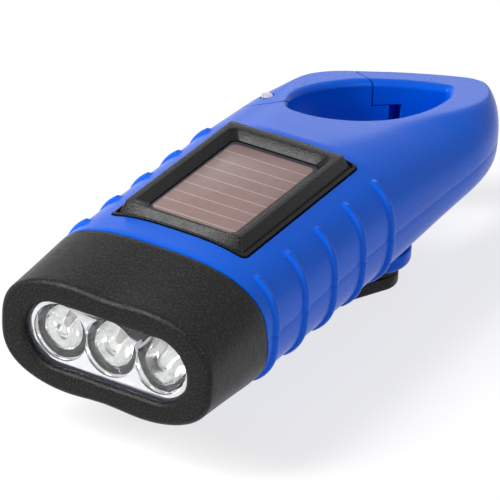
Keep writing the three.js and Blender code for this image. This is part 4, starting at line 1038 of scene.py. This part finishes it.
class FLASHLIGHT_OT_lamp(Operator):
    """Builds the window pane, the metallised cups and the lamps"""

    bl_idname = "flashlight.lamp"
    bl_label = "Lamp"

    def execute(self, context):
        head, lamp = settings().head, settings().lamp
        wide, tall = mm(head.window_half_width), mm(head.window_half_height)
        pane = on_edge(stadium_points(wide + 0.7, tall + 0.7), 0.95, 1.95, 0.12)
        piece("window_pane", pane, "housing", "lens_clear", ["lens"])
        seal = combined(
            on_edge(stadium_points(wide + 0.7, tall + 0.7), 2.1, 2.9),
            on_edge(stadium_points(wide, tall), 1, 4),
        )
        piece("window_seal", seal, "housing", "rubber", ["lens_seal"])
        cups = self.reflector(wide, tall, mm(lamp.led_pitch))
        piece("reflector_cups", cups, "housing", "chrome", ["reflector"], smooth=40)
        for name, x in (("left", -1), ("centre", 0), ("right", 1)):
            self.lamp(name, x * mm(lamp.led_pitch))
        return {"FINISHED"}

    def reflector(self, wide, tall, pitch):
        """The metallised plate with a cup and a bore for each lamp."""
        lamp = settings().lamp
        mouth, bore = mm(lamp.cup_radius), mm(lamp.led_radius) + 0.14
        cups = on_edge(stadium_points(wide - 0.3, tall - 0.3), 2.1, 8.8, 0.15)
        lip, level, depth = mouth - 0.34, 2.95, 1.7
        room = [(0, 1), (mouth + 0.14, 1), (mouth + 0.14, 2.12), (mouth + 0.04, 2.2), (mouth - 0.05, 2.36)]
        room += [(mouth - 0.3, 2.7), (lip, level)]
        shares = [i / 12 for i in range(1, 13)]
        room += [(bore + (lip - bore) * math.sqrt(1 - share), level + depth * share) for share in shares]
        room += [(bore, 11), (0, 11)]
        sink = mm(settings().head.face_sink)
        rooms = [moved(turned(room, 96, (0, 1, 0)), (x, 0, -sink)) for x in (-pitch, 0, pitch)]
        return combined(cups, *rooms)

    def lamp(self, name, x):
        """One lamp: its clear body, the metal cup inside it and the chip in the cup."""
        lamp = settings().lamp
        radius, front, depth = mm(lamp.led_radius), mm(lamp.led_front), mm(lamp.dome_depth)
        flange = radius + 0.2
        body = [(radius * math.sin(a), front + depth * (1 - math.cos(a))) for a in quarter(12)]
        body += [(radius, 10.0), (flange, 10.1), (flange, 11.0), (radius + 0.1, 11.1), (0, 11.1)]
        cup = [(0, 5.9), (0.7, 5.85), (1.4, 5.45), (2.1, 4.8), (2.7, 4.05), (3.1, 3.6), (3.33, 3.42)]
        cup += [(3.38, 3.5), (3.3, 4.1), (2.4, 5.4), (1.2, 6.7), (1.2, 10.9), (0, 10.9)]
        chip = [(0, 5.5), (0.35, 5.53), (0.5, 5.62), (0.5, 5.8), (0, 5.84)]
        parts = (
            ("body", body, "led", "lamp_clear"),
            ("cup", cup, "reflector", "bowl"),
            ("chip", chip, "led", "phosphor"),
        )
        for part, outline, slot, finish in parts:
            steps, smooth = (22, 14) if part == "cup" else (64, 40)
            bm = moved(turned(outline, steps, (0, 1, 0)), (x, 0, -mm(settings().head.face_sink)))
            replaces = [f"led_{name}"] if part == "body" else ()
            piece(f"lamp_{name}_{part}", bm, "housing", finish, replaces, smooth=smooth)


class FLASHLIGHT_OT_solar(Operator):
    """Builds the frame round the solar panel and the panel with its cells"""

    bl_idname = "flashlight.solar"
    bl_label = "Solar panel"

    # Widths of the frame's flat rim, in millimetres, and how much more its front wall leans.
    rim_front, rim_side, rim_back = 0.35, 1.1, 1.9
    front_lean = 1.7

    def execute(self, context):
        solar = settings().solar
        wide, front, back = mm(solar.half_width), mm(solar.front), mm(solar.back)
        base, top, bevel = mm(solar.base), mm(solar.top), mm(solar.bevel)

        def ring(level, inset, radius, lift=None):
            """A ring of the frame's outside, level or a lift above the crowned body."""
            outline = self.outline(-wide + inset, wide - inset, front + inset, back - inset, radius)
            return [Vector((x, y, level if lift is None else self.crown(x) + lift)) for x, y in outline]

        def opening(level, lean):
            """A ring of the frame's inside, which leans in towards the panel."""
            side = wide - bevel - self.rim_side - lean
            outline = self.outline(-side, side, near + lean * self.front_lean, far - lean, 1.3)
            return [Vector((x, y, level)) for x, y in outline]

        ledge, draft, seat = mm(solar.ledge), mm(solar.draft), mm(solar.panel_top)
        near, far = front + bevel + self.rim_front, back - bevel - self.rim_back
        rings = [ring(base, 0, 1), ring(0, 0, 1, 0.2), ring(0, 0.1, 0.9, 0.3), ring(0, 0.36, 0.85, 0.3)]
        rings += [ring(0, 0.42, 0.8, -0.15), ring(0, ledge, 0.7, -0.15), ring(top, bevel, 0.5)]
        rings += [opening(top, 0.0), opening(seat + 0.2, draft), opening(base, draft)]
        rim = rounded(loft(rings, closed=True), 0.12, 3, math.radians(24))
        piece("solar_frame", rim, "housing", "frame_plastic", ["solar_bezel"], smooth=40)
        side = wide - bevel - 1.2 - draft
        outline = rounded_rectangle(
            -side, side, near + self.front_lean * draft + 0.1, far - draft - 0.1, 1.2,
        )
        panel = rounded(prism(outline, base - 1.5, seat), 0.08, 2)
        piece("solar_cell_plate", panel, "housing", "solar_cells", ["solar_panel"])
        return {"FINISHED"}

    def crown(self, x):
        """Level of the body's top at x."""
        body = settings().body
        share = min(1, abs(x) / mm(body.half_width))
        return mm(body.half_height) * (1 - share**body.power) ** (1 / body.power)

    def outline(self, left, right, front, back, radius):
        """A rounded rectangle with extra points on its front and back sides, to follow a crowned surface."""
        points = rounded_rectangle(left, right, front, back, radius, 5)
        result = []
        for p, q in zip(points, points[1:] + points[:1]):
            result.append(p)
            if abs(q[0] - p[0]) > 4 * radius:
                result += [(p[0] + (q[0] - p[0]) * i / 16, p[1]) for i in range(1, 16)]
        return result


class FLASHLIGHT_OT_crank(Operator):
    """Builds the crank's hub, arm, knob and pins"""

    bl_idname = "flashlight.crank"
    bl_label = "Crank"

    def execute(self, context):
        crank = settings().crank
        reach, half = mm(crank.reach), mm(crank.arm_half_width)
        turn = Matrix.Translation((0, mm(crank.hub_y), 0)) @ Matrix.Rotation(-crank.swing, 4, "Z")
        fold_pin = rounded(self.across(-half + 0.15, half - 0.15, 0.8), 0.12, 2)
        profile = [(0, -19.2), (1.0, -19.2), (1.1, -19.1), (1.1, -12.95), (1.85, -12.95), (2.0, -12.8)]
        profile += [(2.0, -12.4), (1.85, -12.27), (0, -12.25)]
        knob_pin = moved(turned(profile, 48), (0, reach, 0))
        rows = (
            ("crank_hub_moulding", self.hub(half), "crank", "crank", "crank_plastic", "crank_hub"),
            ("crank_arm_moulding", self.arm(reach, half), "arm", "crank", "crank_plastic", "crank_arm"),
            ("fold_pin_turned", fold_pin, "crank", "steel", "steel", "fold_pin"),
            ("crank_knob_moulding", self.knob(reach), "knob", "housing", "blue_plastic", "crank_knob"),
            ("knob_pin_turned", knob_pin, "arm", "steel", "steel", "knob_pin"),
        )
        for name, bm, body, slot, finish, node in rows:
            piece(name, bm, body, finish, [node], to_row=TO_ROW @ turn)
        return {"FINISHED"}

    def across(self, low, high, radius, sides=48):
        """A rod along the fold's axis."""
        bm = rod(0, 0, low, high, radius, sides)
        bmesh.ops.rotate(bm, cent=(0, 0, 0), matrix=Matrix.Rotation(QUARTER, 3, "Y"), verts=bm.verts)
        return moved(bm, (0, 0, FOLD_LEVEL))

    def hub(self, half):
        """The round flange with the lug that the arm folds on."""
        flange = rounded(rod(0, 0, -13.3, -12.1, 7.0, 96), 0.25, 3)
        lug = block((-2.5, -2.4, FOLD_LEVEL), (2.5, 2.4, -12.7))
        eye = self.across(-2.5, 2.5, 2.4, 64)
        solid = combined(flange, lug, eye, operation="UNION")
        return combined(solid, self.across(-half, half, 1.1), rod(0, 0, -14.1, 0, 1.8))

    def arm(self, reach, half):
        """The flat arm, with a fork at the hub and a raised neck under the knob."""
        arc = [math.pi * i / 40 for i in range(41)]
        points = [(-half, 0), (half, 0)] + [(half * math.cos(a), reach + half * math.sin(a)) for a in arc]
        plate = rounded(prism(points, -19.5, -17.0), 0.55, 4)
        eyes = self.across(-half, half, 2.4, 64)
        neck = rod(0, reach, -18, -15.5, 4.1, 72)
        solid = combined(plate, rounded(eyes, 0.3, 3), rounded(neck, 0.25, 3), operation="UNION")
        slot = block((-2.8, -3, -23), (2.8, 3.3, 0))
        hole = rod(0, reach, -23, 0, 1.4)
        return combined(solid, slot, self.across(-half - 3, half + 3, 1.1), hole)

    def knob(self, reach):
        """The round knob, open round its pin."""
        low, radius, edge = -15.2, mm(settings().crank.knob_radius), 1.2
        top, brim = low + 3.1, 0.4
        profile = [(1.4, low)]
        profile += [(radius - edge * (1 - math.sin(a)), low + edge * (1 - math.cos(a))) for a in quarter(8)]
        profile += [(radius - brim * (1 - math.cos(a)), top - brim * (1 - math.sin(a))) for a in quarter(5)]
        profile += [(2.45, top), (2.3, low + 2.95), (2.3, low + 2.1), (1.4, low + 2.1)]
        return moved(turned(profile, 96), (0, reach, 0))


class FLASHLIGHT_OT_underside(Operator):
    """Builds the push button, its spring and the housing screws"""

    bl_idname = "flashlight.underside"
    bl_label = "Button and screws"

    def execute(self, context):
        profile = [(0, -12.62), (1.9, -12.64), (2.6, -12.7), (3.2, -12.66), (3.5, -12.45), (3.6, -12.1)]
        profile += [(3.6, -10.05), (4.7, -10.05), (4.7, -9.15), (0, -9.15)]
        button = moved(turned(profile, 96), (0, BUTTON_Y, 0))
        piece("push_button_moulding", button, "button", "crank_plastic", ["push_button"])
        for i, (x, y) in enumerate(screw_places(), 1):
            piece(f"screw_{i}", self.screw(x, y), "housing", "steel", [f"housing_screw_{i}"])
        self.spring()
        return {"FINISHED"}

    def spring(self):
        """The button's return spring, a coil that runs towards the switch board."""
        low, high = (Vector(corner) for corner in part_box("button_spring"))
        radius, wire, turns, steps, travel = 3.2, 0.25, 3, 96, 0.0006
        start, end = TO_ROW.inverted() @ low, TO_ROW.inverted() @ high
        place = Matrix.Translation((radius, BUTTON_Y, start.z + wire)) @ Matrix.Rotation(QUARTER, 4, "X")
        bm = bmesh.new()
        bmesh.ops.create_circle(bm, cap_ends=False, radius=wire, segments=10, matrix=place)
        bmesh.ops.spin(
            bm, geom=bm.verts[:] + bm.edges[:], cent=(0, BUTTON_Y, 0), axis=(0, 0, 1),
            dvec=(0, 0, (end.z - start.z - 2 * wire) / steps), angle=2 * math.pi * turns, steps=steps,
        )
        bmesh.ops.holes_fill(bm, edges=bm.edges[:], sides=0)
        bmesh.ops.recalc_face_normals(bm, faces=bm.faces)
        obj = piece("return_spring", bm, "housing", "steel", ["button_spring"])
        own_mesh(obj)

    def screw(self, x, y):
        """A domed screw with a cross recess."""
        profile = [(0, -8.9), (0.8, -8.88), (1.4, -8.75), (1.8, -8.45), (1.9, -8.1), (1.9, -7.6)]
        profile += [(1.0, -7.6), (1.0, 3.6), (0.6, 4.0), (0, 4.0)]
        recess = [block((-a, -b, -10), (a, b, -8.2)) for a, b in ((1.05, 0.22), (0.22, 1.05))]
        return moved(combined(turned(profile, 48), *recess), (x, y, 0))


class FLASHLIGHT_OT_inner(Operator):
    """Gives the pieces inside the housing their finishes"""

    bl_idname = "flashlight.inner"
    bl_label = "Inner pieces"

    finishes = {
        "steel": ("gate_spring", "coin_cell", "cell_clip", "crank_axle", "axle_clip",
                  "idler_pin", "step_pin", "generator_rotor", "generator_can"),
        "acetal": ("crank_gear", "idler_gear", "step_gear", "rotor_pinion", "gear_plate"),
        "board": ("lamp_board", "circuit_board", "switch_board"),
        "copper": ("generator_coil",),
        "crank_plastic": ("tact_switch",),
    }

    def execute(self, context):
        for finish, nodes in self.finishes.items():
            for node in nodes:
                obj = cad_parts[node]
                for slot in obj.material_slots:
                    slot.link = "OBJECT"
                    slot.material = finish_named(finish)
        return {"FINISHED"}


class FLASHLIGHT_OT_stage(Operator):
    """Sets the floor, the soft lights, the surround and the camera"""

    bl_idname = "flashlight.stage"
    bl_label = "Stage"

    def execute(self, context):
        stage = settings().stage
        self.floor(stage.floor_size)
        self.softbox("key_softbox", (-0.39, -0.55, 0.60), 0.26, 0.52, stage.key_power)
        self.softbox("side_softbox", (0.74, -0.14, 0.42), 0.4, 0.4, stage.side_power)
        self.softbox("back_softbox", (-0.4, 0.86, 0.25), 0.5, 0.12, stage.back_power)
        self.surround(stage.world_strength)
        self.camera()
        context.scene.view_settings.view_transform = "Standard"
        return {"FINISHED"}

    def floor(self, size):
        """The pale floor, which looks white and still takes the object's shadow."""
        bm = bmesh.new()
        bmesh.ops.create_grid(bm, x_segments=8, y_segments=8, size=size / 2)
        mesh = bpy.data.meshes.new("floor")
        bm.to_mesh(mesh)
        obj = bpy.data.objects.new("floor", mesh)
        bpy.context.scene.collection.objects.link(obj)
        material, tree, shader = node_tree("pale_floor")
        shader.inputs["Base Color"].default_value = (0.9, 0.9, 0.9, 1)
        shader.inputs["Roughness"].default_value = 0.9
        light = add(tree, "ShaderNodeEmission")
        light.inputs["Strength"].default_value = 0.72
        shade = add(tree, "ShaderNodeBsdfDiffuse")
        shade.inputs["Color"].default_value = (0.34, 0.34, 0.34, 1)
        both = add(tree, "ShaderNodeAddShader")
        tree.links.new(light.outputs[0], both.inputs[0])
        tree.links.new(shade.outputs[0], both.inputs[1])
        surface = tree.nodes["Material Output"].inputs["Surface"]
        seen_or_lit(tree, shader.outputs[0], both.outputs[0], surface)
        mesh.materials.append(material)

    def softbox(self, name, place, wide, tall, power):
        """A soft lamp that faces the object."""
        lamp = bpy.data.lights.new(name, "AREA")
        lamp.shape = "RECTANGLE"
        lamp.size = wide
        lamp.size_y = tall
        lamp.energy = power
        obj = bpy.data.objects.new(name, lamp)
        obj.location = place
        obj.rotation_euler = (AIM - Vector(place)).to_track_quat("-Z", "Y").to_euler()
        bpy.context.scene.collection.objects.link(obj)

    def surround(self, strength):
        """An even surround that lights softly and looks white."""
        world = bpy.data.worlds.new("surround")
        bpy.context.scene.world = world
        world.use_nodes = True
        tree = world.node_tree
        lit, seen = tree.nodes["Background"], add(tree, "ShaderNodeBackground")
        for node, level in ((lit, strength), (seen, 1.0)):
            node.inputs["Color"].default_value = (1, 1, 1, 1)
            node.inputs["Strength"].default_value = level
        seen_or_lit(tree, lit.outputs[0], seen.outputs[0], tree.nodes["World Output"].inputs["Surface"])

    def camera(self):
        """The camera at the photograph's angle, as fitted to the outline, the ribs and the panel."""
        azimuth, elevation, roll = (math.radians(a) for a in (29.35415, 29.63704, 2.56180))
        flat = math.cos(elevation)
        back = Vector((math.sin(azimuth) * flat, -math.cos(azimuth) * flat, math.sin(elevation)))
        level = Vector((math.cos(azimuth), math.sin(azimuth), 0))
        up = back.cross(level)
        right = level * math.cos(roll) + up * math.sin(roll)
        up = up * math.cos(roll) - level * math.sin(roll)
        target = Vector((0, 45.80335, -2.88051))
        distance = 1 / 0.00140500475
        pixels_per_mm, frame_pixels = 5.99581267, 500
        data = bpy.data.cameras.new("camera")
        data.sensor_width = 36
        data.lens = pixels_per_mm * distance * data.sensor_width / frame_pixels
        data.clip_start = 0.01
        data.clip_end = 20
        obj = bpy.data.objects.new("camera", data)
        turn = Matrix((right, up, back)).transposed().to_4x4()
        obj.matrix_world = Matrix.Translation(TO_ROW @ (target + back * distance)) @ turn
        bpy.context.scene.collection.objects.link(obj)
        bpy.context.scene.camera = obj


class FLASHLIGHT_PT_pieces(Panel):
    """Lists the flashlight's sizes and the steps that build it"""

    bl_label = "Flashlight"
    bl_idname = "FLASHLIGHT_PT_pieces"
    bl_space_type = "VIEW_3D"
    bl_region_type = "UI"
    bl_category = "Flashlight"

    def draw(self, context):
        for step in STEPS:
            self.layout.operator(f"flashlight.{step}")
        for group in ("body", "head", "tail", "lamp", "solar", "crank", "finishes", "stage"):
            owner = getattr(context.scene.flashlight, group)
            box = self.layout.box()
            box.label(text=group.title())
            for name in owner.__annotations__:
                box.prop(owner, name)


class FlashlightSettings(PropertyGroup):
    body: PointerProperty(type=BodySizes, name="Body", description="Sizes of the shells")
    head: PointerProperty(type=HeadSizes, name="Head", description="Sizes of the head")
    tail: PointerProperty(type=TailSizes, name="Tail", description="Sizes of the carabiner")
    lamp: PointerProperty(type=LampSizes, name="Lamp", description="Sizes of the lamps")
    solar: PointerProperty(type=SolarSizes, name="Solar panel", description="Sizes of panel and frame")
    crank: PointerProperty(type=CrankSizes, name="Crank", description="Sizes of the crank")
    finishes: PointerProperty(type=Finishes, name="Finishes", description="Colours of the finishes")
    stage: PointerProperty(type=StageSizes, name="Stage", description="Floor and lights")


STEPS = ("stage", "shells", "head", "lamp", "solar", "crank", "underside", "inner")

CLASSES = (
    BodySizes, HeadSizes, TailSizes, LampSizes, SolarSizes, CrankSizes, Finishes, StageSizes,
    FlashlightSettings, FLASHLIGHT_OT_shells, FLASHLIGHT_OT_head, FLASHLIGHT_OT_lamp,
    FLASHLIGHT_OT_solar, FLASHLIGHT_OT_crank, FLASHLIGHT_OT_underside, FLASHLIGHT_OT_inner,
    FLASHLIGHT_OT_stage, FLASHLIGHT_PT_pieces,
)


def register():
    for cls in CLASSES:
        bpy.utils.register_class(cls)
    bpy.types.Scene.flashlight = PointerProperty(type=FlashlightSettings)


def unregister():
    del bpy.types.Scene.flashlight
    for cls in reversed(CLASSES):
        bpy.utils.unregister_class(cls)


def main():
    register()
    for step in STEPS:
        getattr(bpy.ops.flashlight, step)()


if __name__ == "__main__":
    main()
